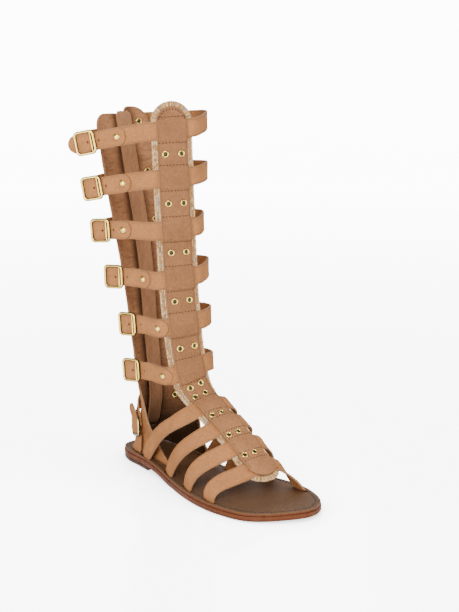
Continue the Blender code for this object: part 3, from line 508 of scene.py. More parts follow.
def foot_strap_line(row):
    """Points and facings along a foot strap, from its lateral end in the footbed to its medial end."""
    crossing = strip_at_station(row[0])

    def half(lateral, from_heel, inset, rise, flare):
        sign = -1 if lateral else 1
        reach = sole_half_width(from_heel, lateral) - inset
        base = Vector((sign * reach, -from_heel, footbed_top(from_heel)))
        edge, facing = strip_point(crossing, sign * (BAND_WIDTH / 2 - 1), STRAP_LIFT)
        inner = strip_point(crossing, sign * (BAND_WIDTH / 2 - 4), STRAP_LIFT)[0]
        lean = (edge.y - base.y) * 0.4 / rise
        climb = Vector((sign * flare, lean, 1.0))
        taper = (sole_half_width(from_heel + 4, lateral) - sole_half_width(from_heel - 4, lateral)) / 8
        side_facing = Vector((sign, taper, -sign * flare * 0.5))
        first = base + climb * rise
        bend = 0.34 if lateral else 0.34 * min(rise / 24, 1)
        second = edge + (edge - inner).normalized() * (edge - base).length * bend
        stations = [base - climb * STRAP_END_DEPTH]
        facings = [side_facing]
        steps = 7
        for step in range(steps):
            t = step / steps
            a, b, c = base.lerp(first, t), first.lerp(second, t), second.lerp(edge, t)
            stations.append(a.lerp(b, t).lerp(b.lerp(c, t), t))
            facings.append(side_facing.lerp(facing, ease(t)))
        return stations, facings

    path, outward = half(True, *row[1:5])
    for sideways in FOOT_STRAP_STATIONS:
        point, facing = strip_point(crossing, sideways, STRAP_LIFT)
        path.append(point)
        outward.append(facing)
    medial_path, medial_outward = half(False, *row[5:9])
    return path + medial_path[::-1], outward + medial_outward[::-1]


def heel_strap_line():
    """Points and facings along the heel strap, with the hump over its buckle's bar, and the buckle's seat."""
    samples = []
    for reach, height, stand_off in HEEL_STRAP:
        point, level = back_point(height, reach, STRAP_OFF_PANEL + stand_off)
        samples.append((point, square_to(level, back_slope(height, reach))))
    points = [point for point, _ in samples]
    path = through(points, 4)
    outward = through(points, 4, values=[facing for _, facing in samples])
    seat_index = HEEL_BUCKLE_ROW * 4
    along = tangents(path)
    facing = square_to(outward[seat_index], along[seat_index])
    centre, direction = path[seat_index].copy(), along[seat_index].copy()
    for i, point in enumerate(path):
        run = (point - centre).dot(direction)
        straight = 1 - ease(((point - centre).length - BUCKLE_WIDTH / 2) / BUCKLE_WIDTH)
        hump = STRAP_HUMP * (1 - ease(abs(run) / HUMP_HALF_LENGTH))
        path[i] = point.lerp(centre + direction * run, straight) + facing * hump
        outward[i] = outward[i].lerp(facing, straight)
    return path, outward, (centre, direction, facing)


# ---------------------------------------------------------------- placing the drawing in the frame

def drawing_offset():
    """The drawing's origin in the frame: behind the heel, and beside the sole's outer edge."""
    low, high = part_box("outsole")
    outer_edge = min(point.x for point in sole_outline())
    return Vector((low.x / MM - outer_edge, high.y / MM, 0.0))


OFFSET = drawing_offset()


def place(point):
    return (point + OFFSET) * MM


class Course:
    """A smooth line that faces a way at each of its points, read by the distance along it."""

    def __init__(self, path, outward, steps=6):
        self.points = through(path, steps)
        self.facings = through(path, steps, values=outward)
        self.lengths = running_lengths(self.points)
        self.total = self.lengths[-1]

    def at(self, distance):
        """Point, direction and facing at a distance; beyond an end the line goes straight on."""
        low, high = 0, len(self.lengths) - 1
        while high - low > 1:
            middle = (low + high) // 2
            if self.lengths[middle] <= distance:
                low = middle
            else:
                high = middle
        t = (distance - self.lengths[low]) / (self.lengths[high] - self.lengths[low])
        share = min(max(t, 0.0), 1.0)
        before, after = max(low - 1, 0), min(high + 1, len(self.points) - 1)
        arriving = (self.points[high] - self.points[before]).normalized()
        leaving = (self.points[after] - self.points[low]).normalized()
        along = blend(arriving, leaving, share).normalized()
        facing = square_to(blend(self.facings[low], self.facings[high], share), along)
        return blend(self.points[low], self.points[high], t), along, facing

    def nearest(self, point):
        best = min(range(len(self.points)), key=lambda i: (self.points[i] - point).length)
        return self.lengths[best]


def wobble(point, scale, seed):
    """A slow unevenness from -1 to 1 that follows a point of the drawing."""
    return noise.noise(point / scale + Vector((seed * 7.3, seed * 3.1, seed)))


# ---------------------------------------------------------------- meshes

def in_scene(name, data):
    """An object of the data, linked to the scene."""
    thing = bpy.data.objects.new(name, data)
    bpy.context.scene.collection.objects.link(thing)
    return thing


def applied(thing):
    """The mesh of an object with its modifiers carried out."""
    graph = bpy.context.evaluated_depsgraph_get()
    return bpy.data.meshes.new_from_object(thing.evaluated_get(graph))


def face_out(mesh, merge=0.0):
    """Turns a mesh's faces outwards; points closer than merge are joined first."""
    shape = bmesh.new()
    shape.from_mesh(mesh)
    if merge:
        bmesh.ops.remove_doubles(shape, verts=shape.verts, dist=merge * MM)
    bmesh.ops.recalc_face_normals(shape, faces=shape.faces)
    shape.to_mesh(mesh)
    shape.free()


def circle(count):
    """The cosine and sine at equal steps round a circle."""
    turns = [2 * math.pi * k / count for k in range(count)]
    return [(math.cos(turn), math.sin(turn)) for turn in turns]


def skin(rings, around, closed=False):
    """Faces between rings that follow each other, every ring a closed loop of around points."""
    faces = []
    for ring in range(rings if closed else rings - 1):
        a, b = ring * around, (ring + 1) % rings * around
        faces += [(a + k, a + (k + 1) % around, b + (k + 1) % around, b + k) for k in range(around)]
    return faces


def new_piece(name, points, faces, made_of, indices=None, uvs=None, merge=0.0):
    """A closed mesh from points of the drawing, with its faces turned outwards."""
    mesh = bpy.data.meshes.new(name)
    mesh.from_pydata([place(point) for point in points], [], faces)
    for made in made_of:
        mesh.materials.append(finish(made))
    if indices:
        mesh.polygons.foreach_set("material_index", indices)
    if uvs:
        layer = mesh.uv_layers.new(name="UVMap")
        for loop in mesh.loops:
            layer.data[loop.index].uv = uvs[loop.vertex_index]
    face_out(mesh, merge)
    mesh.polygons.foreach_set("use_smooth", [True] * len(mesh.polygons))
    return in_scene(name, mesh)


def small_piece(name, points, faces):
    """A small solid round the origin, for setting on points."""
    mesh = bpy.data.meshes.new(name)
    mesh.from_pydata([[value * MM for value in point] for point in points], [], faces)
    face_out(mesh)
    return in_scene(name, mesh)


def rows_between(start, end, radius, round_start, round_end, step):
    """Distances for the rows of a strap, close together where an end is round."""
    shares = [0.0, 0.02, 0.07, 0.15, 0.27, 0.42, 0.6, 0.8, 1.0]
    fixed = [start, end]
    if round_start:
        fixed += [start + radius * share for share in shares]
    if round_end:
        fixed += [end - radius * share for share in shares]
    fixed = sorted(set(fixed))
    rows = []
    for a, b in zip(fixed, fixed[1:]):
        pieces = max(1, round((b - a) / step))
        rows += [blend(a, b, i / pieces) for i in range(pieces)]
    return rows + [end]


def round_share(distance, start, end, radius, round_start, round_end):
    """How much of a strap's full width is left at a distance, with round ends."""
    share = 1.0
    for is_round, into in ((round_start, distance - start), (round_end, end - distance)):
        if is_round and into < radius:
            share = min(share, math.sqrt(max(1 - (1 - into / radius) ** 2, 0.004)))
    return share


def section(half, thickness, columns, edge):
    """Section of a strap with rounded edges, as (across, above) pairs from its upper face round."""
    h = thickness / 2
    r = min(edge, half * 0.6, h * 0.95)
    flat = half - r
    bend = r * math.sqrt(0.5)
    upper = [(-flat + 2 * flat * c / columns, h) for c in range(columns + 1)]
    corner = [(flat + bend, h - r + bend), (half, h - r), (half, r - h), (flat + bend, r - h - bend)]
    right_half = upper + corner
    return right_half + [(-x, -z) for x, z in right_half]


def section_kinds(columns):
    """Which finish each side of the section has: 0 outside, 1 cut edge, 2 inside."""
    return [0] * columns + [1] * 5 + [2] * columns + [1] * 5


def swept(name, count, spot, half_at, thickness, made_of, columns=6, edge=0.45, lengths=None):
    """A strap with rounded edges: spot(i, across, above) gives a point of its row i."""
    points, uvs = [], []
    around = section_kinds(columns)
    size = len(around)
    for i in range(count):
        ring = section(half_at(i), thickness, columns, edge)
        points += [spot(i, x, z) for x, z in ring]
        run = lengths[i] if lengths else float(i)
        uvs += [(run * UV_PER_MM, (x + UV_MIDDLE) * UV_PER_MM) for x, _ in ring]
    last = (count - 1) * size
    faces = skin(count, size) + [tuple(range(size)), tuple(range(last, last + size))]
    kinds = around * (count - 1) + [1, 1]
    if len(made_of) < 3:
        kinds = [min(kind, len(made_of) - 1) for kind in kinds]
    return new_piece(name, points, faces, made_of, kinds, uvs)


def strap(name, course, start, end, width, thickness, lift=None, rounds=(False, False), step=1.8, seed=1,
          node="upper", hole=None):
    """A leather strap along a course from one distance to another, with its cut edges softened.

    hole is where it is punched: the distance, the lift there and the diameter."""
    full = width if callable(width) else (lambda distance: width)
    radius = full((start + end) / 2) / 2
    rows = rows_between(start, end, radius, rounds[0], rounds[1], step)
    frames = [course.at(distance) for distance in rows]
    lifts = [lift(distance) if lift else 0.0 for distance in rows]

    def half_at(i):
        share = round_share(rows[i], start, end, radius, *rounds)
        return full(rows[i]) / 2 * share + 0.18 * wobble(frames[i][0], 9.0, seed)

    def spot(i, x, z):
        point, along, facing = frames[i]
        side = along.cross(facing)
        wave = 0.16 * wobble(point + side * x, 11.0, seed + 3)
        return point + side * x + facing * (z + lifts[i] + wave)

    piece = swept(name, len(rows), spot, half_at, thickness, LEATHERS, 6, 0.55, rows)
    if hole:
        cut_away(piece, [punch(course, *hole)])
    return settle(piece, "leather", node)


def tube(name, points, width, height, outward, closed, made_of, sides=12):
    """A wire of oval section along points, height measured the way outward gives."""
    count = len(points)
    ring_points = []
    for i, point in enumerate(points):
        if closed:
            along = (points[(i + 1) % count] - points[i - 1]).normalized()
        else:
            along = (points[min(i + 1, count - 1)] - points[max(i - 1, 0)]).normalized()
        facing = square_to(outward, along)
        side = along.cross(facing)
        ring_points += [point + side * x * width / 2 + facing * y * height / 2 for x, y in circle(sides)]
    faces = skin(count, sides, closed)
    if not closed:
        faces += [tuple(range(sides)), tuple(range((count - 1) * sides, count * sides))]
    return new_piece(name, ring_points, faces, [made_of])


def turned(name, profile, segments, size=1.0):
    """A small solid turned from (radius, height) pairs; size is that of a radius of 1."""
    points, faces, rings = [], [], []
    for radius, height in profile:
        ring = [(radius * size * x, radius * size * y, height) for x, y in circle(segments)]
        ring = ring if radius else ring[:1]
        rings.append(range(len(points), len(points) + len(ring)))
        points += ring
    for inner, outer in zip(rings, rings[1:]):
        for k in range(segments):
            m = (k + 1) % segments
            loop = [ring[i % len(ring)] for ring, i in ((inner, k), (inner, m), (outer, m), (outer, k))]
            faces.append(tuple(dict.fromkeys(loop)))
    return small_piece(name, points, faces)


def thread(name, length, width, height, arch=0.0, sides=6):
    """One stitch or yarn lying along X, arched up in the middle and thinner at its ends."""
    stops = [(-0.5, 0.35), (-0.4, 0.85), (-0.15, 1.0), (0.15, 1.0), (0.4, 0.85), (0.5, 0.35)]
    points = [(share * length, x * width / 2 * size, y * height / 2 * size + arch * (1 - (2 * share) ** 2))
              for share, size in stops for x, y in circle(sides)]
    faces = [(a, d, c, b) for a, b, c, d in skin(len(stops), sides)]
    faces += [tuple(range(sides)), tuple(reversed(range(len(points) - sides, len(points))))]
    return small_piece(name, points, faces)


# ---------------------------------------------------------------- small pieces set on points

def add(tree, kind, inputs=None, **settings):
    """A node with its inputs set: an input may be a number, a colour or another node's output."""
    made = tree.nodes.new(kind)
    for key, value in settings.items():
        setattr(made, key, value)
    for key, value in (inputs or {}).items():
        if isinstance(value, bpy.types.NodeSocket):
            tree.links.new(value, made.inputs[key])
        else:
            made.inputs[key].default_value = value
    return made


def calculated(tree, operation, *values):
    """The result of a sum on numbers or node outputs."""
    return add(tree, "ShaderNodeMath", dict(enumerate(values)), operation=operation).outputs[0]


def setter_tree():
    """Geometry Nodes that set one small piece on every point, turned by the point's facing and along."""
    tree = bpy.data.node_groups.new("set_on_points", "GeometryNodeTree")
    for name, kind, default in (("Points", "Geometry", None), ("Piece", "Object", None),
                                ("Size variation", "Float", 0.0), ("Turn variation", "Float", 0.0),
                                ("Seed", "Int", 1), ("Finish", "Material", None)):
        made = tree.interface.new_socket(name=name, in_out="INPUT", socket_type="NodeSocket" + kind)
        if default is not None:
            made.default_value = default
    tree.interface.new_socket(name="Pieces", in_out="OUTPUT", socket_type="NodeSocketGeometry")
    given = add(tree, "NodeGroupInput").outputs

    def vector(name):
        return add(tree, "GeometryNodeInputNamedAttribute", {"Name": name},
                   data_type="FLOAT_VECTOR").outputs["Attribute"]

    def random(low, high, offset):
        seed = calculated(tree, "ADD", given["Seed"], offset)
        return add(tree, "FunctionNodeRandomValue", {2: low, 3: high, "Seed": seed},
                   data_type="FLOAT").outputs[1]

    size, turn = given["Size variation"], given["Turn variation"]
    up = add(tree, "FunctionNodeAlignRotationToVector", {"Vector": vector("facing")}, axis="Z")
    ahead = add(tree, "FunctionNodeAlignRotationToVector",
                {"Rotation": up.outputs[0], "Vector": vector("along")}, axis="X", pivot_axis="Z")
    askew = add(tree, "FunctionNodeAxisAngleToRotation",
                {"Axis": (0, 0, 1), "Angle": random(calculated(tree, "MULTIPLY", turn, -1.0), turn, 11.0)})
    rotation = add(tree, "FunctionNodeRotateRotation",
                   {"Rotation": ahead.outputs[0], "Rotate By": askew.outputs[0]}, rotation_space="LOCAL")
    info = add(tree, "GeometryNodeObjectInfo", {"Object": given["Piece"]})
    scale = random(calculated(tree, "SUBTRACT", 1.0, size), calculated(tree, "ADD", 1.0, size), 23.0)
    instances = add(tree, "GeometryNodeInstanceOnPoints",
                    {"Points": given["Points"], "Instance": info.outputs["Geometry"],
                     "Rotation": rotation.outputs[0], "Scale": scale})
    tint = add(tree, "GeometryNodeStoreNamedAttribute",
               {"Geometry": instances.outputs[0], "Name": "tint", "Value": random(0.0, 1.0, 37.0)},
               data_type="FLOAT", domain="INSTANCE")
    real = add(tree, "GeometryNodeRealizeInstances", {0: tint.outputs[0]})
    smooth = add(tree, "GeometryNodeSetShadeSmooth", {0: real.outputs[0]})
    covered = add(tree, "GeometryNodeSetMaterial",
                  {"Geometry": smooth.outputs[0], "Material": given["Finish"]})
    add(tree, "NodeGroupOutput", {0: covered.outputs[0]})
    return tree


def set_on_points(name, spots, piece, made_of, slot, size_variation, turn_variation, seed, *nodes):
    """One mesh of a small piece repeated on spots, each a point, a facing and a direction."""
    tree = bpy.data.node_groups.get("set_on_points") or setter_tree()
    mesh = bpy.data.meshes.new(name + "_points")
    mesh.from_pydata([place(point) for point, _, _ in spots], [], [])
    for column, attribute in ((1, "facing"), (2, "along")):
        layer = mesh.attributes.new(attribute, "FLOAT_VECTOR", "POINT")
        layer.data.foreach_set("vector", [value for spot in spots for value in spot[column]])
    base = in_scene(name + "_points", mesh)
    modifier = base.modifiers.new("set", "NODES")
    modifier.node_group = tree
    values = {"Piece": piece, "Size variation": size_variation, "Turn variation": turn_variation,
              "Seed": seed, "Finish": finish(made_of)}
    for item in tree.interface.items_tree:
        if item.name in values:
            modifier[item.identifier] = values[item.name]
    thing = in_scene(name, applied(base))
    for used in (base, piece):
        bpy.data.objects.remove(used)
    if not thing.data.polygons:
        raise RuntimeError(f"{name} came out empty")
    return settle(thing, slot, *nodes)


# ---------------------------------------------------------------- finishes

def finish_of(name, roughness, metallic=0.0, **direct):
    """A material, its node tree, its shader and its Object coordinates."""
    made = bpy.data.materials.new(name)
    made.use_nodes = True
    tree = made.node_tree
    body = tree.nodes["Principled BSDF"]
    for key, value in dict(direct, Roughness=roughness, Metallic=metallic).items():
        body.inputs[key.replace("_", " ")].default_value = value
    coordinates = add(tree, "ShaderNodeTexCoord").outputs["Object"]
    return made, tree, body, coordinates


def feed(body, **sources):
    """Joins node outputs to the shader's inputs of those names."""
    for key, source in sources.items():
        body.id_data.links.new(source, body.inputs[key.replace("_", " ")])


def height_in(tree, where):
    return add(tree, "ShaderNodeSeparateXYZ", {"Vector": where}).outputs["Z"]


def grain(tree, where, scale, detail=3.0, roughness=0.6, stretch=None, distortion=0.0):
    """Noise on the coordinates; scale is in repeats a metre, stretch scales the axes first."""
    if stretch:
        where = add(tree, "ShaderNodeMapping", {"Vector": where, "Scale": stretch}).outputs[0]
    made = add(tree, "ShaderNodeTexNoise", {"Vector": where, "Scale": scale, "Detail": detail,
                                            "Roughness": roughness, "Distortion": distortion})
    return made.outputs["Fac"]


def spread(tree, value, low, high, from_low=0.3, from_high=0.7):
    """A value from low to high as another one, held between its own two ends, rises."""
    made = add(tree, "ShaderNodeMapRange", {"Value": value, "From Min": from_low, "From Max": from_high,
                                            "To Min": low, "To Max": high})
    return made.outputs[0]


def mixed(tree, factor, first, second, blend_type="MIX"):
    return add(tree, "ShaderNodeMix", {0: factor, 6: first, 7: second}, data_type="RGBA",
               blend_type=blend_type).outputs[2]


def toned(tree, value, colour, low, high):
    """The colour from one share of it to another as a noise rises."""
    return mixed(tree, spread(tree, value, 0.0, 1.0), shade(colour, low), shade(colour, high))


def shade(colour, share):
    """A share of a colour, with full opacity."""
    return tuple(part * share for part in colour[:3]) + (1.0,)


def bump(tree, height, strength, distance, below=None):
    """Relief of a depth in millimetres, over the relief below it."""
    inputs = {"Height": height, "Strength": strength, "Distance": distance * MM}
    if below is not None:
        inputs["Normal"] = below
    return add(tree, "ShaderNodeBump", inputs).outputs[0]


def nubuck(name, colour, contrast=0.15, nap=0.2, rough=0.86, sheen=0.03, stretch=None, relief=0.4,
           crinkle=0.0, low_down=None, half=None, paler=None):
    """Buffed leather: soft patches, a fine nap and small pores.

    It can be crinkled, with painted shade in its creases and a painted shadow beside the zip guard; darker
    low down as painted shade; darker along both borders at half its width, partly burnished and partly
    painted edge shade; and paler where it flexes over the instep."""
    made, tree, body, where = finish_of(name, rough, Sheen_Weight=sheen, Sheen_Roughness=0.5,
                                        Specular_IOR_Level=0.08, Sheen_Tint=shade(colour, 1.3))
    patches = grain(tree, where, 38.0, 4.0, 0.65, stretch, 0.4)
    fine = grain(tree, where, 520.0, 4.0, 0.7, stretch)
    hairs = grain(tree, where, 1500.0, 2.0, 0.6)
    base = toned(tree, patches, colour, 1 - contrast, 1 + contrast)
    speck = add(tree, "ShaderNodeCombineColor", {key: spread(tree, fine, 1 - nap, 1 + nap)
                                                 for key in ("Red", "Green", "Blue")}).outputs[0]
    shown = mixed(tree, 1.0, base, speck, "MULTIPLY")
    low = bump(tree, patches, 0.25, 0.8)
    if crinkle:
        creases = grain(tree, where, 190.0, 3.0, 0.6, (0.4, 0.4, 2.2), 0.5)
        # painted shade: darker in the valleys of the creases
        shown = mixed(tree, spread(tree, creases, crinkle, 0.0, 0.34, 0.52), shown, shade(colour, 0.5))
        low = bump(tree, creases, 0.6, 0.8, low)
        # painted shadow: darker beside the zip, where the guard shades the panel
        from_zip = add(tree, "ShaderNodeAttribute", attribute_name="from_zip").outputs["Fac"]
        shown = mixed(tree, spread(tree, from_zip, 0.8, 0.0, 9.0, 15.5), shown, shade(colour, 0.3))
    if paler:
        flexed = spread(tree, height_in(tree, where), 1.0, 0.0, 0.06, 0.095)
        shown = mixed(tree, flexed, shown, (paler, paler, paler, 1.0), "MULTIPLY")
    if half:
        lengths = add(tree, "ShaderNodeUVMap").outputs["UV"]
        across = add(tree, "ShaderNodeSeparateXYZ", {"Vector": lengths}).outputs["Y"]
        away = calculated(tree, "ABSOLUTE", calculated(tree, "SUBTRACT", across, UV_MIDDLE * UV_PER_MM))
        uneven = calculated(tree, "ADD", away, spread(tree, patches, -0.012, 0.012))
        # darker along both borders: partly burnished edges, partly painted shade where the piece rounds off
        rim = spread(tree, uneven, 0.0, 0.5, half * UV_PER_MM - 0.028, half * UV_PER_MM)
        shown = mixed(tree, rim, shown, shade(colour, 0.5))
        streaks = grain(tree, lengths, 18.0, 3.0, 0.6, (1.0, 7.0, 1.0))
        shown = mixed(tree, spread(tree, streaks, 0.45, 0.0), shown, shade(colour, 0.72))
    # painted shade: darker towards the sole, where the inside of the heel lies in shadow
    if low_down:
        shade_near_sole = spread(tree, height_in(tree, where), low_down, 0.0, 0.035, 0.085)
        shown = mixed(tree, shade_near_sole, shown, shade(colour, 0.12))
    feed(body, Base_Color=shown)
    middle = bump(tree, fine, relief, 0.35, low)
    feed(body, Normal=bump(tree, hairs, relief * 0.6, 0.12, middle),
         Roughness=spread(tree, fine, rough - 0.08, min(rough + 0.1, 1.0)))
    return made


def cut_edge(name, colour):
    """The raw edge of the leather: layers of fibre pressed flat."""
    made, tree, body, where = finish_of(name, 0.7, Specular_IOR_Level=0.3)
    fibre = grain(tree, where, 900.0, 4.0, 0.7)
    feed(body, Base_Color=toned(tree, fibre, colour, 0.75, 1.15), Normal=bump(tree, fibre, 0.5, 0.2))
    return made


def smooth_leather(name, colour):
    """The footbed's leather: worn smooth, darker in patches and finely creased."""
    made, tree, body, where = finish_of(name, 0.62, Specular_IOR_Level=0.12)
    worn = grain(tree, where, 16.0, 3.0, 0.55, None, 0.5)
    fine = grain(tree, where, 420.0, 4.0, 0.65)
    creases = add(tree, "ShaderNodeTexVoronoi", {"Vector": where, "Scale": 650.0}, feature="DISTANCE_TO_EDGE")
    base = toned(tree, worn, colour, 0.86, 1.14)
    feed(body, Base_Color=mixed(tree, spread(tree, fine, 0.0, 0.16), base, shade(colour, 0.7)))
    crease = spread(tree, creases.outputs["Distance"], 0.0, 1.0, 0.0, 0.2)
    feed(body, Normal=bump(tree, crease, 0.06, 0.1, bump(tree, fine, 0.1, 0.2)),
         Roughness=spread(tree, fine, 0.55, 0.75))
    return made


def stacked_edge(name, colour, dark):
    """The side of the sole: burnished, in thin layers, scuffed in patches to a dark share of its colour and
    darker towards the bottom.
    """
    made, tree, body, where = finish_of(name, 0.5, Specular_IOR_Level=0.2)
    dark = shade(colour, dark)
    layers = grain(tree, where, 60.0, 3.0, 0.6, (0.5, 0.5, 22.0))
    scuffs = grain(tree, where, 130.0, 4.0, 0.7, (1.0, 1.0, 0.6))
    height = height_in(tree, where)
    base = toned(tree, layers, colour, 0.86, 1.12)
    scuffed = mixed(tree, spread(tree, scuffs, 0.0, 0.5, 0.5, 0.75), base, dark)
    low = spread(tree, height, 0.5, 0.0, 0.0, 0.0022)
    feed(body, Base_Color=mixed(tree, low, scuffed, dark),
         Normal=bump(tree, layers, 0.25, 0.25, bump(tree, scuffs, 0.1, 0.2)),
         Roughness=spread(tree, scuffs, 0.42, 0.65))
    return made


def plated(name, colour, rough=0.16):
    """Polished gilt metal with faint rubbing and small dull spots, painted dark where it turns away from view
    as a painted dark reflection.
    """
    made, tree, body, where = finish_of(name, rough, 1.0)
    rubbed = grain(tree, where, 260.0, 4.0, 0.7)
    bright = toned(tree, rubbed, colour, 0.9, 1.06)
    turned_away = add(tree, "ShaderNodeLayerWeight", {"Blend": 0.5}).outputs["Facing"]
    # painted dark reflection: darker where the metal turns away from view
    painted_dark_reflection = spread(tree, turned_away, 0.0, 0.95, 0.28, 0.58)
    feed(body, Base_Color=mixed(tree, painted_dark_reflection, bright, (0.05, 0.038, 0.012, 1.0)),
         Roughness=spread(tree, rubbed, rough * 0.7, rough * 1.7), Normal=bump(tree, rubbed, 0.05, 0.05))
    return made


def yarn(name, colours):
    """Woven yarn in a few colours, one to each yarn by its tint, with a twist in its relief."""
    made, tree, body, where = finish_of(name, 0.75, Specular_IOR_Level=0.1)
    tint = add(tree, "ShaderNodeAttribute", attribute_name="tint").outputs["Fac"]
    ramp = add(tree, "ShaderNodeValToRGB", {"Fac": tint})
    ramp.color_ramp.interpolation = "CONSTANT"
    stops = ramp.color_ramp.elements
    for i, (position, colour) in enumerate(colours):
        stop = stops[i] if i < 2 else stops.new(position)
        stop.position = position
        stop.color = colour + (1.0,)
    twist = grain(tree, where, 1400.0, 3.0, 0.6)
    shaded = mixed(tree, spread(tree, twist, 0.0, 0.4), ramp.outputs["Color"], (0.34, 0.21, 0.11, 1.0))
    feed(body, Base_Color=shaded, Normal=bump(tree, twist, 0.6, 0.15))
    return made


def woven(name, colour, second, pitch):
    """Plain weave on the piece's own UV map: pitch is the size of one crossing in millimetres."""
    made, tree, body, where = finish_of(name, 0.85, Specular_IOR_Level=0.1)
    lengths = add(tree, "ShaderNodeUVMap").outputs["UV"]
    waves = [add(tree, "ShaderNodeTexWave", {"Vector": lengths, "Scale": 10.0 / pitch / 6.2832 * 3.1416},
                 bands_direction=axis).outputs["Fac"] for axis in ("X", "Y")]
    both = calculated(tree, "MULTIPLY", *waves)
    fuzz = grain(tree, where, 700.0, 3.0, 0.6)
    base = mixed(tree, spread(tree, both, 0.0, 1.0, 0.1, 0.7), second + (1.0,), colour)
    feed(body, Base_Color=mixed(tree, spread(tree, fuzz, 0.0, 0.4), base, shade(colour, 0.6)),
         Normal=bump(tree, both, 0.5, 0.3, bump(tree, fuzz, 0.3, 0.15)))
    return made


def stitching(name, colour):
    """Waxed thread with its ply showing."""
    made, tree, body, where = finish_of(name, 0.55, Specular_IOR_Level=0.4)
    ply = grain(tree, where, 2600.0, 2.0, 0.5)
    feed(body, Base_Color=toned(tree, ply, colour, 0.7, 1.25), Normal=bump(tree, ply, 0.5, 0.1))
    return made


def pale_floor(name, colour):
    """Gloss white floor and wall; it glows a little for the eye and in reflections, more towards the wall.

    A painted contact shadow dims the glow where the sandal stands close above it.
    """
    made, tree, body, where = finish_of(name, 0.10, Specular_IOR_Level=0.8,
                                        Emission_Color=(1.0, 1.0, 1.0, 1.0))
    feed(body, Base_Color=toned(tree, grain(tree, where, 3.0, 2.0, 0.5), colour, 0.99, 1.0))
    far = add(tree, "ShaderNodeVectorMath", {0: where}, operation="LENGTH").outputs["Value"]
    glow = spread(tree, far, 7.0, 12.0, 0.6, 3.4)
    rays = add(tree, "ShaderNodeLightPath").outputs
    low = spread(tree, height_in(tree, where), 0.13, 0.006, 0.35, 1.3)
    seen = calculated(tree, "MULTIPLY", rays["Is Glossy Ray"], low)
    seen = calculated(tree, "ADD", rays["Is Camera Ray"], seen)
    seen = calculated(tree, "MULTIPLY_ADD", rays["Is Diffuse Ray"], 0.012, seen)
    # painted contact shadow: the glow dims where the sandal is near
    near = add(tree, "ShaderNodeAmbientOcclusion", {"Distance": 0.09}, samples=8).outputs["AO"]
    seen = calculated(tree, "MULTIPLY", seen, spread(tree, near, 0.3, 1.0, 0.35, 1.0))
    feed(body, Emission_Strength=calculated(tree, "MULTIPLY", glow, seen))
    return made


# The yarns' colours, each from its share of the yarns up.
YARNS = ((0.0, (0.80, 0.52, 0.27)), (0.5, (0.48, 0.31, 0.22)), (0.62, (0.88, 0.63, 0.37)),
         (0.9, (0.55, 0.27, 0.08)))
GILT_YARNS = ((0.0, (0.66, 0.33, 0.09)), (0.6, (0.86, 0.62, 0.36)), (0.7, (0.42, 0.22, 0.08)),
              (0.86, (0.52, 0.42, 0.36)))
ROUGH_SIDE = {"contrast": 0.2, "nap": 0.22, "rough": 0.9, "sheen": 0.02}
FINISHES = {}
MAKERS = {
    # finish: maker, the user's colour or its own, the share of it, the maker's other values
    "leather": (nubuck, "leather", 1.0, {"half": SHAFT_STRAP_WIDTH / 2}),
    "overlay": (nubuck, "overlay", 1.0, {"half": OVERLAY_WIDTH / 2, "paler": 1.38}),
    "inside": (nubuck, "inside", 1.0, {**ROUGH_SIDE, "relief": 0.6}),
    # panel and guard: painted shade low down; the panel also has painted shade in its creases and a painted
    # shadow beside the zip
    "panel": (nubuck, "panel", 1.0, {**ROUGH_SIDE, "stretch": (0.55, 0.55, 1.3), "relief": 0.8,
                                     "crinkle": 0.5, "low_down": 1.0}),
    "guard": (nubuck, "guard", 1.0, {"contrast": 0.16, "nap": 0.16, "rough": 0.88, "sheen": 0.02,
                                     "stretch": (1.0, 1.0, 0.3), "relief": 0.5, "low_down": 0.7}),
    "edge": (cut_edge, "edge", 1.0, {}),
    "lip": (cut_edge, "edge", 0.45, {}),
    "footbed": (smooth_leather, "footbed", 1.0, {}),
    "sole_edge": (stacked_edge, "sole", 1.0, {"dark": 0.35}),
    "heel": (stacked_edge, "heel", 1.0, {"dark": 0.5}),
    "gold": (plated, "gold", 1.0, {}),
    # painted shade: near-black gilt for the tubes edging the buckles and for the rivets' middles
    "dark_gold": (plated, (0.05, 0.05, 0.022), 1.0, {"rough": 0.35}),
    "yarn": (yarn, YARNS, None, {}),
    "gilt_yarn": (yarn, GILT_YARNS, None, {}),
    "trim": (woven, (0.44, 0.28, 0.15), 1.0, {"second": (0.29, 0.175, 0.09), "pitch": 0.9}),
    "tape": (woven, (0.16, 0.09, 0.05), 1.0, {"second": (0.07, 0.04, 0.02), "pitch": 0.8}),
    "coil": (stitching, (0.14, 0.08, 0.045), 1.0, {}),
    "dark_thread": (stitching, "thread", 1.0, {}),
    "light_thread": (stitching, "leather", 0.62, {}),
    "floor": (pale_floor, (0.85, 0.85, 0.85), 1.0, {}),
}
LEATHERS = ("leather", "edge", "inside")


def finish(name):
    """A finish by name, made the first time it is asked for."""
    if name not in FINISHES:
        maker, colour, share, values = MAKERS[name]
        if isinstance(colour, str):
            colour = getattr(bpy.context.scene.sandal_colours, colour)
        FINISHES[name] = maker(name, shade(tuple(colour), share) if share else colour, **values)
    return FINISHES[name]


# ---------------------------------------------------------------- the user's sizes and colours

def length_property(name, description, default):
    return bpy.props.FloatProperty(name=name, description=description, default=default * MM, min=0.0,
                                   unit="LENGTH", precision=4)


def colour_property(name, description, default):
    return bpy.props.FloatVectorProperty(name=name, description=description, default=default, size=3,
                                         min=0.0, max=1.0, subtype="COLOR")


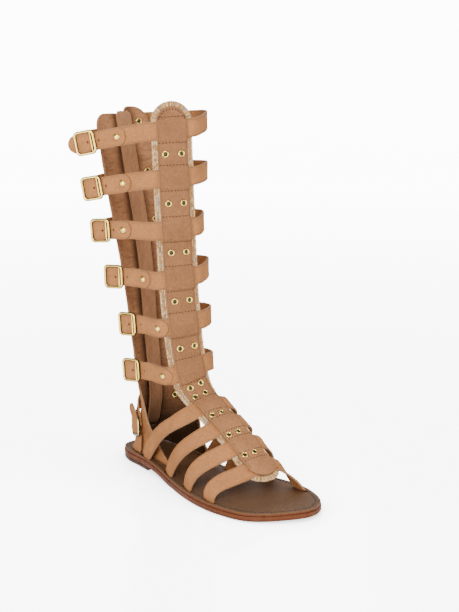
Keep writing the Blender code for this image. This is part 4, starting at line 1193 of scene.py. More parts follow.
class SandalSizes(bpy.types.PropertyGroup):
    """Sizes of the trim and stitching that can be changed without a new frame."""
    stitch_length: length_property("Stitch length", "Length of one stitch on the overlay", 1.7)
    stitch_spacing: length_property("Stitch spacing", "From one stitch to the next", 2.7)
    thread_thickness: length_property("Thread thickness", "Thickness of the sewing thread", 0.85)
    yarn_length: length_property("Yarn length", "Length of one float of the woven trim", 2.6)
    yarn_width: length_property("Yarn width", "Width of one yarn of the woven trim", 1.55)
    hole_diameter: length_property("Punched hole", "Diameter of the holes in the strap tabs", 1.9)
    rivet_diameter: length_property("Rivet cap", "Diameter of a rivet cap", 6.7)
    tab_thickness: length_property("Tab thickness", "Thickness of the buckled strap tabs", 1.7)


class SandalColours(bpy.types.PropertyGroup):
    """Colours of the finishes."""
    leather: colour_property("Leather", "Outer face of the straps", (0.47, 0.197, 0.072))
    overlay: colour_property("Overlay", "Leather down the middle of the front strip", (0.30, 0.134, 0.058))
    inside: colour_property("Inside", "Inner face of the straps", (0.33, 0.138, 0.050))
    panel: colour_property("Panel lining", "Inner face of the back panels", (0.37, 0.17, 0.078))
    guard: colour_property("Zip guard", "Leather behind the zip", (0.33, 0.16, 0.078))
    edge: colour_property("Cut edge", "Raw edge of the leather", (0.36, 0.175, 0.075))
    footbed: colour_property("Footbed", "Leather under the foot", (0.128, 0.062, 0.027))
    sole: colour_property("Sole edge", "Burnished side of the sole", (0.15, 0.043, 0.015))
    heel: colour_property("Heel lift", "Rubber lift under the heel", (0.075, 0.034, 0.02))
    gold: colour_property("Gilt", "Rivets, buckles and zip slider", (0.90, 0.60, 0.155))
    thread: colour_property("Thread", "Stitches on the overlay", (0.022, 0.013, 0.009))


def sizes():
    """The user's sizes in millimetres, by name."""
    group = bpy.context.scene.sandal_sizes
    return {name: getattr(group, name) / MM for name in SandalSizes.__annotations__}


def settle(thing, slot, *nodes, body=BODY):
    """Lets a finished piece ride on its body and stand for its nodes; slot is not used."""
    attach(thing, body)
    if nodes:
        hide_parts(*nodes)
    return thing


def cut_away(thing, cutters):
    """Cuts the cutters out of a piece; they are used up."""
    for cutter in cutters:
        difference = thing.modifiers.new("cut", "BOOLEAN")
        difference.operation = "DIFFERENCE"
        difference.solver = "EXACT"
        difference.object = cutter
    mesh = applied(thing)
    thing.modifiers.clear()
    thing.data = mesh
    thing.data.name = thing.name
    for cutter in cutters:
        bpy.data.objects.remove(cutter)
    return thing


# ---------------------------------------------------------------- the sole

OUTLINE_STEPS = 14
BREAST_STEPS = 24
FOOTBED_GROOVE = 4.6
FOOTBED_STITCH_SPACING = 3.4


def inward(outline):
    """Level unit vectors that point into a closed outline, one for each of its points."""
    count = len(outline)
    turn = sum(outline[i - 1].cross(outline[i]).z for i in range(count))
    sign = 1 if turn > 0 else -1
    found = []
    for i in range(count):
        along = (outline[(i + 1) % count] - outline[i - 1]).normalized()
        found.append(Vector((-along.y, along.x, 0)) * sign)
    return found


def slab(name, outline, spine, rings, rise, made_of):
    """A sole layer in rings: each is (inset, share of the way to the spine, height, finish)."""
    into = inward(outline)
    points = []
    for inset, share, height, _ in rings:
        for point, way in zip(outline, into):
            moved = (point + way * inset).lerp(spine(point), share)
            moved.z = rise(-moved.y) + height
            points.append(moved)
    kinds = [ring[3] for ring in rings[1:] for _ in outline]
    return new_piece(name, points, skin(len(rings), len(outline)), made_of, kinds, None, 0.01)


def sole_spine(point):
    from_heel = min(max(-point.y, 16.0), SOLE_LENGTH - 20.0)
    side = (sole_half_width(from_heel, False) - sole_half_width(from_heel, True)) / 2
    return Vector((side, -from_heel, 0))


def heel_spine(point):
    return Vector((0.3, -min(max(-point.y, 16.0), HEEL_LIFT_LENGTH - 14.0), 0))


def slab_rings(bottom, top, top_finish, side_finish, groove=None, low_finish=None):
    """Rings round a slab with softened edges, from the middle of its top to the middle of its underside."""
    low_finish = side_finish if low_finish is None else low_finish
    across = [(7.0, 0.0)]
    if groove:
        across = [(groove + way, dip) for way, dip in ((1.6, 0.0), (0.7, 0.02), (0.35, 0.22), (-0.35, 0.22),
                                                       (-0.7, 0.02), (-1.6, 0.0))]
    rings = [(0.0, share, top, top_finish) for share in (1.0, 0.72, 0.45)]
    rings += [(inset, 0.0, top - dip, top_finish) for inset, dip in across + [(1.1, 0.0)]]
    rings += [(inset, 0.0, top - drop, side_finish)
              for inset, drop in ((0.45, 0.08), (0.12, 0.3), (0.0, 0.7))]
    rings.append((0.0, 0.0, blend(top, bottom, 0.5), low_finish))
    rings += [(inset, 0.0, bottom + above, low_finish)
              for inset, above in ((0.0, 0.6), (0.2, 0.2), (0.6, 0.0), (6.0, 0.0))]
    return rings + [(0.0, share, bottom, low_finish) for share in (0.5, 1.0)]


def slot_block(end, above, facing, width):
    """A block round the foot of a strap, for cutting its slot in the footbed."""
    climb = (above - end).normalized()
    face = square_to(facing, climb)
    axes = Matrix((face.cross(climb), face, climb)).transposed().to_4x4()
    shape = bmesh.new()
    bmesh.ops.create_cube(shape, size=1.0)
    bmesh.ops.scale(shape, vec=Vector((width + 1.2, STRAP_THICKNESS + 0.9, 40.0)), verts=shape.verts)
    bmesh.ops.transform(shape, matrix=Matrix.Translation(end + OFFSET) @ axes, verts=shape.verts)
    bmesh.ops.scale(shape, vec=Vector((MM, MM, MM)), verts=shape.verts)
    mesh = bpy.data.meshes.new("slot_block")
    shape.to_mesh(mesh)
    shape.free()
    mesh.materials.append(finish("edge"))
    return in_scene("slot_block", mesh)


class SANDAL_OT_sole(bpy.types.Operator):
    """Outsole, heel lift and the stitched footbed with a slot for every strap"""
    bl_idname = "sandal.sole"
    bl_label = "Sole"

    def execute(self, context):
        settle(slab("outsole_edge", sole_outline(0.0, OUTLINE_STEPS), sole_spine,
                    slab_rings(0.0, OUTSOLE_THICKNESS, 0, 0), sole_rise, ["sole_edge"]), "outsole", "outsole")
        heel = [point for point in sole_outline(0.4, OUTLINE_STEPS) if -point.y < HEEL_LIFT_LENGTH]
        # The outline goes on from the inner of its two foremost points, round the back to the outer one.
        inner = max(sorted(heel, key=lambda point: point.y)[:2], key=lambda point: point.x)
        start = heel.index(inner)
        heel = heel[start:] + heel[:start]
        a, b = heel[-1].copy(), heel[0].copy()
        a.y = b.y = -HEEL_LIFT_LENGTH
        breast = [a.lerp(b, i / BREAST_STEPS) for i in range(BREAST_STEPS + 1)]
        settle(slab("heel_block", heel + breast, heel_spine, slab_rings(0.0, HEEL_LIFT_THICKNESS, 0, 0),
                    lambda from_heel: 0.0, ["heel"]), "heel_rubber", "heel_lift")
        bottom = OUTSOLE_THICKNESS + GAP
        line = sole_outline(FOOTBED_INSET, OUTLINE_STEPS)
        bed = slab("footbed_cover", line, sole_spine,
                   slab_rings(bottom - GAP + 0.05, bottom + FOOTBED_THICKNESS, 0, 1, FOOTBED_GROOVE, 2),
                   sole_rise, ["footbed", "lip", "sole_edge"])
        blocks = []
        for row in FOOT_STRAPS:
            path, outward = foot_strap_line(row)
            for end, above in ((0, 1), (-1, -2)):
                blocks.append(slot_block(path[end], path[above], outward[end], FOOT_STRAP_END_WIDTH))
        path, outward, _ = heel_strap_line()
        blocks.append(slot_block(path[0], path[1], outward[0], HEEL_STRAP_WIDTH))
        settle(cut_away(bed, blocks), "footbed", "footbed")

        line = [point + way * FOOTBED_GROOVE for point, way in zip(line, inward(line))]
        course = Course(line + line[:1], [UP] * (len(line) + 1), 1)
        count = round(course.total / FOOTBED_STITCH_SPACING)
        spots = []
        for i in range(count):
            point, along, _ = course.at(course.total * (i + 0.5) / count)
            point.z = sole_rise(-point.y) + (bottom + FOOTBED_THICKNESS - 0.12)
            spots.append((point, UP, along))
        thick = sizes()["thread_thickness"]
        set_on_points("footbed_stitches", spots, thread("stitch", 2.3, thick, thick * 0.8, 0.05),
                      "dark_thread", "footbed", 0.06, 0.05, 3)
        return {"FINISHED"}


# ---------------------------------------------------------------- the front strip

STITCH_ROW_OFFSET = 11.3
FOOT_ROW_OFFSET = 8.7
RIVET_CLEARANCE = 3.7
OVERLAY_STITCH_INSET = 2.0
END_STITCHES_TURN = 75
YARN_COLUMNS = (13.9, 15.6, 17.2)
RIB_RADII = (13.4, 17.9)
RIB_ROW_RADIUS = 16.0
BINDING_RADIUS = 18.0
BINDING_SPACING = 1.5


def stitch_rows():
    """Distances of the stitched rows that hold the overlay down above and below each strap."""
    rows = [crossing + side * (STITCH_ROW_OFFSET if number < len(SHAFT_STRAPS) else FOOT_ROW_OFFSET)
            for number, (crossing, _) in enumerate(CROSSINGS) for side in (-1, 1)]
    return rows[:-1]


def clear_of_rivets(distance, sideways):
    """Whether a stitch on the strip would miss every rivet."""
    return all(math.hypot(distance - along, sideways - side) > RIVET_CLEARANCE
               for along, *sides in STRIP_RIVETS for side in sides)


def overlay_level(distance):
    """Middle of the overlay over the band, with a soft dip along every stitched row."""
    dip = sum(0.5 * math.exp(-((distance - row) / 1.2) ** 2) for row in stitch_rows())
    shaft, foot = CROSSINGS[:len(SHAFT_STRAPS)], CROSSINGS[len(SHAFT_STRAPS):]
    drape = sum(0.9 * math.exp(-((distance - crossing) / 5.5) ** 2) for crossing, _ in foot)
    drape += sum(0.45 * math.exp(-((distance - crossing) / 6.0) ** 2) for crossing, _ in shaft)
    return overlay_lift(distance) + drape - dip


def strip_piece(name, start, end, width, lift_at, thickness, made_of, columns, step, edge):
    radius = width / 2
    rows = rows_between(start, end, radius, True, True, step)

    def half_at(i):
        return width / 2 * round_share(rows[i], start, end, radius, True, True)

    def spot(i, x, z):
        return strip_point(rows[i], x, lift_at(rows[i]) + z)[0]

    return swept(name, len(rows), spot, half_at, thickness, made_of, columns, edge, rows)


def strip_spot(distance, sideways, lift, across=False):
    """A point on the strip with its facing and the way along or across it."""
    point, facing = strip_point(distance, sideways, lift)
    if across:
        ahead = strip_point(distance, sideways + 0.5, lift)[0]
    else:
        ahead = strip_point(distance + 0.5, sideways, lift)[0]
    return point, facing, (ahead - point).normalized()


def racetrack(radius, start, end, spacing):
    """(distance, sideways) round a band with round ends, at a radius from its middle line."""
    straight = end - start
    arc = math.pi * radius
    total = 2 * straight + 2 * arc
    count = round(total / spacing)
    found = []
    for i in range(count):
        run = total * i / count
        if run < straight:
            found.append((start + run, -radius))
        elif run < straight + arc:
            angle = (run - straight) / radius
            found.append((end + radius * math.sin(angle), -radius * math.cos(angle)))
        elif run < 2 * straight + arc:
            found.append((end - (run - straight - arc), radius))
        else:
            angle = (run - 2 * straight - arc) / radius
            found.append((start - radius * math.sin(angle), radius * math.cos(angle)))
    return found


class SANDAL_OT_strip(bpy.types.Operator):
    """Woven band down the shin and instep, its yarns, and the leather overlay sewn onto it"""
    bl_idname = "sandal.strip"
    bl_label = "Front strip"

    def execute(self, context):
        measure = sizes()
        band = strip_piece("woven_band", 0.0, STRIP_TOTAL, BAND_WIDTH - 0.6, lambda distance: 0.0,
                           BAND_THICKNESS - 0.3, ["trim"], 14, 2.0, 0.5)
        settle(band, "woven_trim", "upper")
        overlay = strip_piece("strip_leather", OVERLAY_END_INSET, STRIP_TOTAL - OVERLAY_END_INSET,
                              OVERLAY_WIDTH, overlay_level, OVERLAY_THICKNESS, ("overlay", "edge", "inside"),
                              12, 0.9, 0.6)
        settle(overlay, "leather", "strip_overlay")
        self.trim(measure["yarn_length"], measure["yarn_width"])
        self.stitches(measure["stitch_spacing"], measure["stitch_length"], measure["thread_thickness"])
        return {"FINISHED"}

    def trim(self, length, width):
        """Rows of yarns along both borders, ribs round both ends, and the binding."""
        first, last = BAND_WIDTH / 2, STRIP_TOTAL - BAND_WIDTH / 2
        level = BAND_THICKNESS / 2 - 0.1
        yarns, gilt_yarns, ribs, gilt_ribs, binding = [], [], [], [], []
        straight = STRIP_TOTAL - 2 * first
        count = round(straight / length)
        for column, radius in enumerate(YARN_COLUMNS):
            for side in (-1, 1):
                for i in range(count):
                    distance = first + straight * (i + 0.5 * (column % 2)) / count
                    (gilt_yarns if column == 1 else yarns).append(strip_spot(distance, side * radius, level))
        count = round(math.pi * RIB_ROW_RADIUS / width)
        for centre, sign in ((first, -1), (last, 1)):
            for i in range(count + 1):
                angle = math.pi * (i / count - 0.5)
                x, y = sign * math.cos(angle), math.sin(angle)
                (inner, inner_face), (outer, outer_face) = (
                    strip_point(centre + x * radius, y * radius, level) for radius in RIB_RADII)
                facing = (inner_face + outer_face).normalized()
                row = gilt_ribs if i % 2 else ribs
                row.append(((inner + outer) / 2, facing, (outer - inner).normalized()))
        for distance, sideways in racetrack(BINDING_RADIUS, first, last, BINDING_SPACING):
            point, facing, _ = strip_spot(distance, sideways, 0.0)
            middle = strip_point(min(max(distance, first), last), 0.0, 0.0)[0]
            binding.append((point, square_to(point - middle, facing), facing))
        run = length * 1.02
        for name, spots, size, made_of, uneven, askew, seed in (
                ("trim_yarns", yarns, (run, width, 0.8, 0.12), "yarn", 0.06, 0.06, 5),
                ("trim_gilt_yarns", gilt_yarns, (run, width, 0.9, 0.15), "gilt_yarn", 0.06, 0.06, 6),
                ("trim_ribs", ribs, (4.9, width * 0.92, 0.9, 0.3), "yarn", 0.05, 0.05, 7),
                ("trim_gilt_ribs", gilt_ribs, (4.9, width * 0.92, 0.9, 0.3), "gilt_yarn", 0.05, 0.05, 7),
                ("trim_binding", binding, (2.3, 1.35, 0.9, 0.1), "yarn", 0.08, 0.1, 9)):
            set_on_points(name, spots, thread("yarn", *size, 8), made_of, "woven_trim", uneven, askew, seed)

    def stitches(self, spacing, length, thick):
        """Rows of stitches across the overlay and round its top end."""
        top = OVERLAY_THICKNESS / 2 + 0.02
        half = OVERLAY_WIDTH / 2 - OVERLAY_STITCH_INSET
        spots = []
        count = round(2 * half / spacing)
        for row in stitch_rows():
            for i in range(count + 1):
                across = blend(-half, half, i / count)
                if clear_of_rivets(row, across):
                    spots.append(strip_spot(row, across, overlay_level(row) + top, True))
        centre = OVERLAY_END_INSET + OVERLAY_WIDTH / 2
        count = round(math.radians(2 * END_STITCHES_TURN) * half / spacing)
        for i in range(count + 1):
            angle = math.radians(blend(-END_STITCHES_TURN, END_STITCHES_TURN, i / count))
            distance, sideways = centre - half * math.cos(angle), half * math.sin(angle)
            lift = overlay_level(distance) + top
            point, facing, across = strip_spot(distance, sideways, lift, True)
            forward = strip_spot(distance, sideways, lift)[2]
            spots.append((point, facing, across * math.cos(angle) + forward * math.sin(angle)))
        set_on_points("overlay_stitches", spots, thread("stitch", length, thick, thick * 0.8, 0.06),
                      "dark_thread", "leather", 0.08, 0.08, 2)


# ---------------------------------------------------------------- straps, buckles and rivets

HEEL_STRAP_WIDTH = SHAFT_STRAP_WIDTH - 1.0
HEEL_STRAP_RIVET = (59.5, 22.5, 1.3)
# How the heel strap's free end climbs over the buckle's bar: run from the bar, height.
HEEL_STRAP_END = ((-9.5, -0.3), (-7.4, 0.8), (-5.2, 2.3), (-3.2, 3.2), (-1.0, 3.5), (1.2, 3.2), (3.6, 2.7),
                  (7.0, 2.6), (11.0, 3.4), (16.0, 4.6), (22.0, 5.4))
STRAP_SUNK = 1.9
STRAP_STITCH_INSET = 1.3
STRAP_TAPER_RUN = 46.0
BAR_RUN = 5.8
TAB_START_RUN = 8.1
HOLE_RUNS = (13.2, 12.8, 12.8, 13.8, 14.8, 16.2)
TAB_RISE_START = 8.5
TAB_RISE_END = 17.0
TAB_END_BEYOND_RIVET = 8.3
STRAP_START_UNDER_TAB = 17.5
PANEL_RIVET_INSET = 9.5


def punch(course, distance, lift, diameter):
    """A round punch through a strap, for cutting a hole."""
    point, along, facing = course.at(distance)
    side = along.cross(facing)
    steps = 14
    points = [point + facing * (lift + out) + (along * x + side * y) * diameter / 2
              for out in (-3.0, 4.5) for x, y in circle(steps)]
    faces = [tuple(range(steps)), tuple(range(steps, 2 * steps))] + skin(2, steps)
    return new_piece("punch", points, faces, ["edge"])


def buckle(number, seat):
    """Rounded frame with its inner bar beside the right-hand side."""
    name = f"buckle_frame_{number}"
    centre, along, facing = seat
    up = facing.cross(along)
    middle = centre + facing * (STRAP_THICKNESS / 2 + GAP + BUCKLE_WIRE / 2)
    half_width, half_height = BUCKLE_WIDTH / 2 - 1.5, BUCKLE_HEIGHT / 2 - 1.35
    corner, steps = 3.4, 8
    loop = []
    for quarter, (sx, sy) in enumerate(((1, 1), (-1, 1), (-1, -1), (1, -1))):
        for step in range(steps + 1):
            angle = math.radians(90 * (quarter + step / steps))
            loop.append(middle + along * (sx * (half_width - corner) + corner * math.cos(angle))
                        + up * (sy * (half_height - corner) + corner * math.sin(angle)))
    # painted shade: thin near-black tubes just inside and outside the frame stand for the shade and dark
    # reflections along its wire
    for part, inset, width in (("inner", 1.35, 0.8), ("outer", -1.25, 0.5)):
        rim = [point - (point - middle).normalized() * inset - facing * 0.3 for point in loop]
        settle(tube(f"{name}_{part}_rim", rim, width, 1.5, facing, True, "dark_gold", 8), "hardware")
    bar = [middle + along * BAR_RUN + up * (half_height * share) - facing * drop
           for share, drop in ((-1.0, 0.0), (-0.9, 0.25), (0.9, 0.25), (1.0, 0.0))]
    settle(tube(name + "_bar", bar, 1.75, 1.75, facing, False, "gold"), "hardware")
    settle(tube(name, loop, BUCKLE_WIRE * 1.1, BUCKLE_WIRE, facing, True, "gold", 14), "hardware",
           f"buckle_{number}")


def pad_course(seat, tip, far_end=6.0):
    """The end of a strap from its tip, under the frame and up over the bar as a soft pad."""
    centre, along, facing = seat
    runs = ((-tip, 0.0), (-tip * 0.5 - 5.0, -0.1), (-9.0, -0.35), (-7.3, 0.5), (-5.3, 2.1), (-3.4, 3.1),
            (-1.4, 3.5), (0.9, 3.2), (3.0, 2.3), (4.7, 0.6), (far_end, -1.2))
    return Course([centre + along * run + facing * rise for run, rise in runs], [facing] * len(runs), 4)


def panel_rivet(height, reach, stand_off):
    """The two heads of a rivet through a strap and a back panel."""
    front, facing = back_point(height, reach, STRAP_OFF_PANEL + stand_off + STRAP_THICKNESS / 2)
    behind = back_point(height, reach, -PANEL_THICKNESS / 2 - 0.1)[0]
    return [(front, facing, UP), (behind, -facing, UP)]


def out_of_footbed(course, distance, step):
    """Goes along a course until it comes out of the footbed."""
    while True:
        point = course.at(distance)[0]
        if point.z >= footbed_top(-point.y) - STRAP_SUNK:
            return distance
        distance += step


# A rivet's profiles, in shares of its radius and millimetres of height: a polished domed cap with a thin rim,
# a rolled ring round a sunk middle, and a dark piece in that middle, painted shade for its hollow.
RIVET_CAP = ((0.0, 1.75), (0.2, 1.72), (0.4, 1.58), (0.58, 1.34), (0.74, 1.0), (0.87, 0.55), (0.94, 0.1),
             (0.93, -0.3), (0.0, -0.3))
RIVET_RING = ((0.0, 0.3), (0.46, 0.32), (0.53, 0.6), (0.62, 0.98), (0.72, 1.1), (0.84, 0.95), (0.93, 0.6),
              (0.97, 0.15), (0.95, -0.3), (0.0, -0.3))
RIVET_MIDDLE = ((0.0, 0.85), (0.2, 0.8), (0.36, 0.66), (0.48, 0.48), (0.54, 0.4), (0.5, 0.25), (0.0, 0.2))
RIVET_BACK = ((0.0, 0.45), (1.0, 0.45), (1.9, 0.35), (2.1, 0.1), (2.0, -0.2), (0.0, -0.2))


def rivets(name, spots, profile, segments, made_of, seed, *nodes):
    """Rivet heads on spots; the profile of a back is in millimetres, the others in shares of the radius."""
    size = 1.0 if profile is RIVET_BACK else sizes()["rivet_diameter"] / 2
    set_on_points(name, spots, turned("rivet", profile, segments, size), made_of, "hardware", 0.02, 3.0, seed,
                  *nodes)


def rings_and_middles(name, spots, seed, *nodes):
    """Rivets with a rolled ring and a dark middle of painted shade; the rings stand for the nodes."""
    rivets(name + "s", spots, RIVET_RING, 24, "gold", seed, *nodes)
    rivets(name + "_middles", spots, RIVET_MIDDLE, 16, "dark_gold", seed)


class SANDAL_OT_shaft_straps(bpy.types.Operator):
    """Six straps round the calf with their tabs, buckles, back straps, holes and rivets"""
    bl_idname = "sandal.shaft_straps"
    bl_label = "Shaft straps"

    def execute(self, context):
        measure = sizes()
        tab, hole_size = measure["tab_thickness"], measure["hole_diameter"]
        tab_rise = STRAP_THICKNESS / 2 + tab / 2 + 0.05
        rivet_spots, stitch_spots, panel_spots = [], [], []
        for number, row in enumerate(SHAFT_STRAPS, 1):
            tip = TOP_STRAP_TIP if number == 1 else STRAP_TIP
            path, outward, seat = front_strap_line(row, tip)
            centre, direction, face = seat
            course = Course(path, outward)
            middle = course.nearest(centre + face * STRAP_HUMP)
            rivet_at = middle + row[4]
            tab_start = course.nearest(centre + direction * TAB_START_RUN)
            tab_end = rivet_at + TAB_END_BEYOND_RIVET

            def lift(distance, middle=middle, start=tab_start):
                under_frame = -1.0 * (1 - ease((distance - start) / 3.5))
                return under_frame + tab_rise * ease((distance - middle - TAB_RISE_START - 2)
                                                     / (TAB_RISE_END - TAB_RISE_START))

            hole = course.nearest(centre + direction * HOLE_RUNS[number - 1])
            strap(f"strap_tab_{number}", course, tab_start, tab_end, SHAFT_STRAP_WIDTH, tab, lift,
                  (False, True), 1.5, number, hole=(hole, lift(hole), hole_size))
            pad = pad_course(seat, tip)
            hole = pad.nearest(centre + direction * 2.2 + face * 2.2)
            strap(f"strap_end_{number}", pad, 0.0, pad.total, SHAFT_STRAP_WIDTH + 0.5, tab, None,
                  (True, False), 0.9, number + 50, hole=(hole, 0.0, hole_size * 0.9))
            strap(f"shaft_strap_{number}", course, middle + STRAP_START_UNDER_TAB, course.total,
                  SHAFT_STRAP_WIDTH, STRAP_THICKNESS - 0.1, None, (False, True), 1.8, number + 10)
            back_path, back_outward = back_strap_line(row, seat)
            under = (back_path[-1] - centre).dot(face) - 0.3
            back = Course(back_path + [centre + direction * 9.5 + face * under], back_outward + [face])
            strap(f"back_strap_{number}", back, 0.0, back.total, SHAFT_STRAP_WIDTH - 0.8,
                  STRAP_THICKNESS - 0.1, None, (True, False), 1.8, number + 20)
            buckle(number, seat)

            point, along, facing = course.at(rivet_at)
            rivet_spots.append((point + facing * (tab_rise + tab / 2), facing, along))
            for edge in (-1, 1):
                distance = tab_end + 2.0
                while distance < course.total - 6.0:
                    point, along, facing = course.at(distance)
                    beside = along.cross(facing) * edge * (SHAFT_STRAP_WIDTH / 2 - STRAP_STITCH_INSET)
                    spot = point + beside + facing * (STRAP_THICKNESS / 2 - 0.02)
                    stitch_spots.append((spot, facing, along))
                    distance += measure["stitch_spacing"]
            back_z = row[8] - STRAP_CALF_DROP
            for height, column, sign in ((row[5], 4, -1), (back_z, 5, 1)):
                edge_reach = table_value(BACK_LINE, height, column)
                reach = edge_reach - PANEL_RIVET_INSET
                panel_spots += panel_rivet(height, sign * reach, EDGE_STAND_OFF * (reach / edge_reach) ** 2)
        panel_spots += panel_rivet(*HEEL_STRAP_RIVET)
        rivets("tab_rivet_caps", rivet_spots, RIVET_CAP, 24, "gold", 4,
               *[f"strap_rivet_{number}" for number in range(1, 7)])
        rings_and_middles("panel_rivet", panel_spots, 6)
        set_on_points("strap_stitches", stitch_spots, thread("stitch", 1.5, 0.42, 0.34, 0.04), "light_thread",
                      "leather", 0.08, 0.06, 7)
        return {"FINISHED"}


class SANDAL_OT_foot_straps(bpy.types.Operator):
    """Four straps over the foot, each ending in two slots of the footbed"""
    bl_idname = "sandal.foot_straps"
    bl_label = "Foot straps"

    def execute(self, context):
        for number, row in enumerate(FOOT_STRAPS, 1):
            course = Course(*foot_strap_line(row))

            def width(distance, total=course.total):
                from_end = min(distance, total - distance)
                return blend(FOOT_STRAP_END_WIDTH, FOOT_STRAP_WIDTH, ease(from_end / STRAP_TAPER_RUN))

            strap(f"foot_strap_{number}", course, out_of_footbed(course, 0.0, 0.25),
                  out_of_footbed(course, course.total, -0.25), width, STRAP_THICKNESS - 0.1, seed=number + 30)
        return {"FINISHED"}


class SANDAL_OT_heel_strap(bpy.types.Operator):
    """Strap from the sole, through its buckle and round behind the ankle"""
    bl_idname = "sandal.heel_strap"
    bl_label = "Heel strap"

    def execute(self, context):
        path, outward, seat = heel_strap_line()
        centre, direction, facing = seat
        buckle(7, seat)
        course = Course(path, outward, 3)
        middle = course.nearest(centre + facing * STRAP_HUMP)
        start = out_of_footbed(course, 0.0, 0.25)
        stations = [course.at(distance) for distance in (start, start + 4, start + 8, middle - 13)]
        points = [point for point, _, _ in stations]
        facings = [way for _, _, way in stations]
        for run, out in HEEL_STRAP_END:
            points.append(centre + direction * run + facing * out)
            facings.append(facing)
        free = Course(points, facings, 5)
        hole = free.nearest(centre + direction * 13.0 + facing * 3.8)
        strap("heel_strap_lower", free, 0.0, free.total, HEEL_STRAP_WIDTH, STRAP_THICKNESS - 0.2, None,
              (False, True), 1.2, 41, "heel_strap", (hole, 0.0, sizes()["hole_diameter"]))

        points, facings = [], []
        distance = middle
        while distance < course.total:
            point, _, way = course.at(distance)
            hump = STRAP_HUMP * (1 - ease(abs(distance - middle) / HUMP_HALF_LENGTH))
            points.append(point - facing * hump)
            facings.append(way)
            distance += 4.0
        upper = Course(points, facings, 4)
        strap("heel_strap_upper", upper, 0.0, upper.total, HEEL_STRAP_WIDTH, STRAP_THICKNESS - 0.2,
              lambda run: -1.1 * (1 - ease(run / 16.0)), (False, True), 1.8, 42, "heel_strap")
        return {"FINISHED"}


class SANDAL_OT_strip_rivets(bpy.types.Operator):
    """Ten pairs of gilt rivets on the front strip, with their backs"""
    bl_idname = "sandal.strip_rivets"
    bl_label = "Strip rivets"

    def execute(self, context):
        spots, backs = [], []
        for distance, *sides in STRIP_RIVETS:
            for sideways in sides:
                spots.append(strip_spot(distance, sideways, overlay_level(distance) + OVERLAY_THICKNESS / 2))
                point, facing, along = strip_spot(distance, sideways, -BAND_THICKNESS / 2 - 0.1)
                backs.append((point, -facing, along))
        nodes = [f"strip_rivet_{number}{letter}" for number in range(1, 11) for letter in "ab"]
        rings_and_middles("strip_rivet", spots, 8, *nodes)
        rivets("strip_rivet_backs", backs, RIVET_BACK, 18, "gold", 10)
        return {"FINISHED"}


# ---------------------------------------------------------------- the back of the leg

TAPE_LIFT = -(PANEL_THICKNESS / 2 + 2 * GAP + ZIP_TAPE_THICKNESS / 2)
PANEL_INNER_CORNER = 5.0
PANEL_STITCH_SPACING = 2.8
COIL_SPACING = 0.9
EYE_HALF_WIDTH = 1.9
EYE_RINGS = ((1.95, -1.9), (2.0, -1.6), (2.0, 1.6), (1.95, 1.9), (1.25, 1.9), (1.2, 1.6), (1.2, -1.6),
             (1.25, -1.9))


def rounded_off(share):
    """How far a quarter circle of radius 1 has drawn in at a share of the way along it."""
    return 1 - math.sqrt(max(1 - share * share, 0.0))


def back_sheet(name, heights, half_at, across_at, lift, thickness, made_of, columns, edge=0.5, foot=None,
               folds=0.35):
    """A piece that follows the back of the leg, in rows of equal height."""
    def spot(i, x, z):
        point = back_point(heights[i], across_at(i, x), lift + z)[0]
        if foot and i == 0:
            point.z = foot(point)
        tall = Vector((point.x, point.y, point.z * 0.22))
        wave = folds * wobble(tall, 7.5, len(name)) + 0.12 * wobble(point, 6.0, len(name) + 2)
        return point + (point - back_point(heights[i], across_at(i, x), 0)[0]).normalized() * wave

    return swept(name, len(heights), spot, half_at, thickness, made_of, columns, edge, heights)


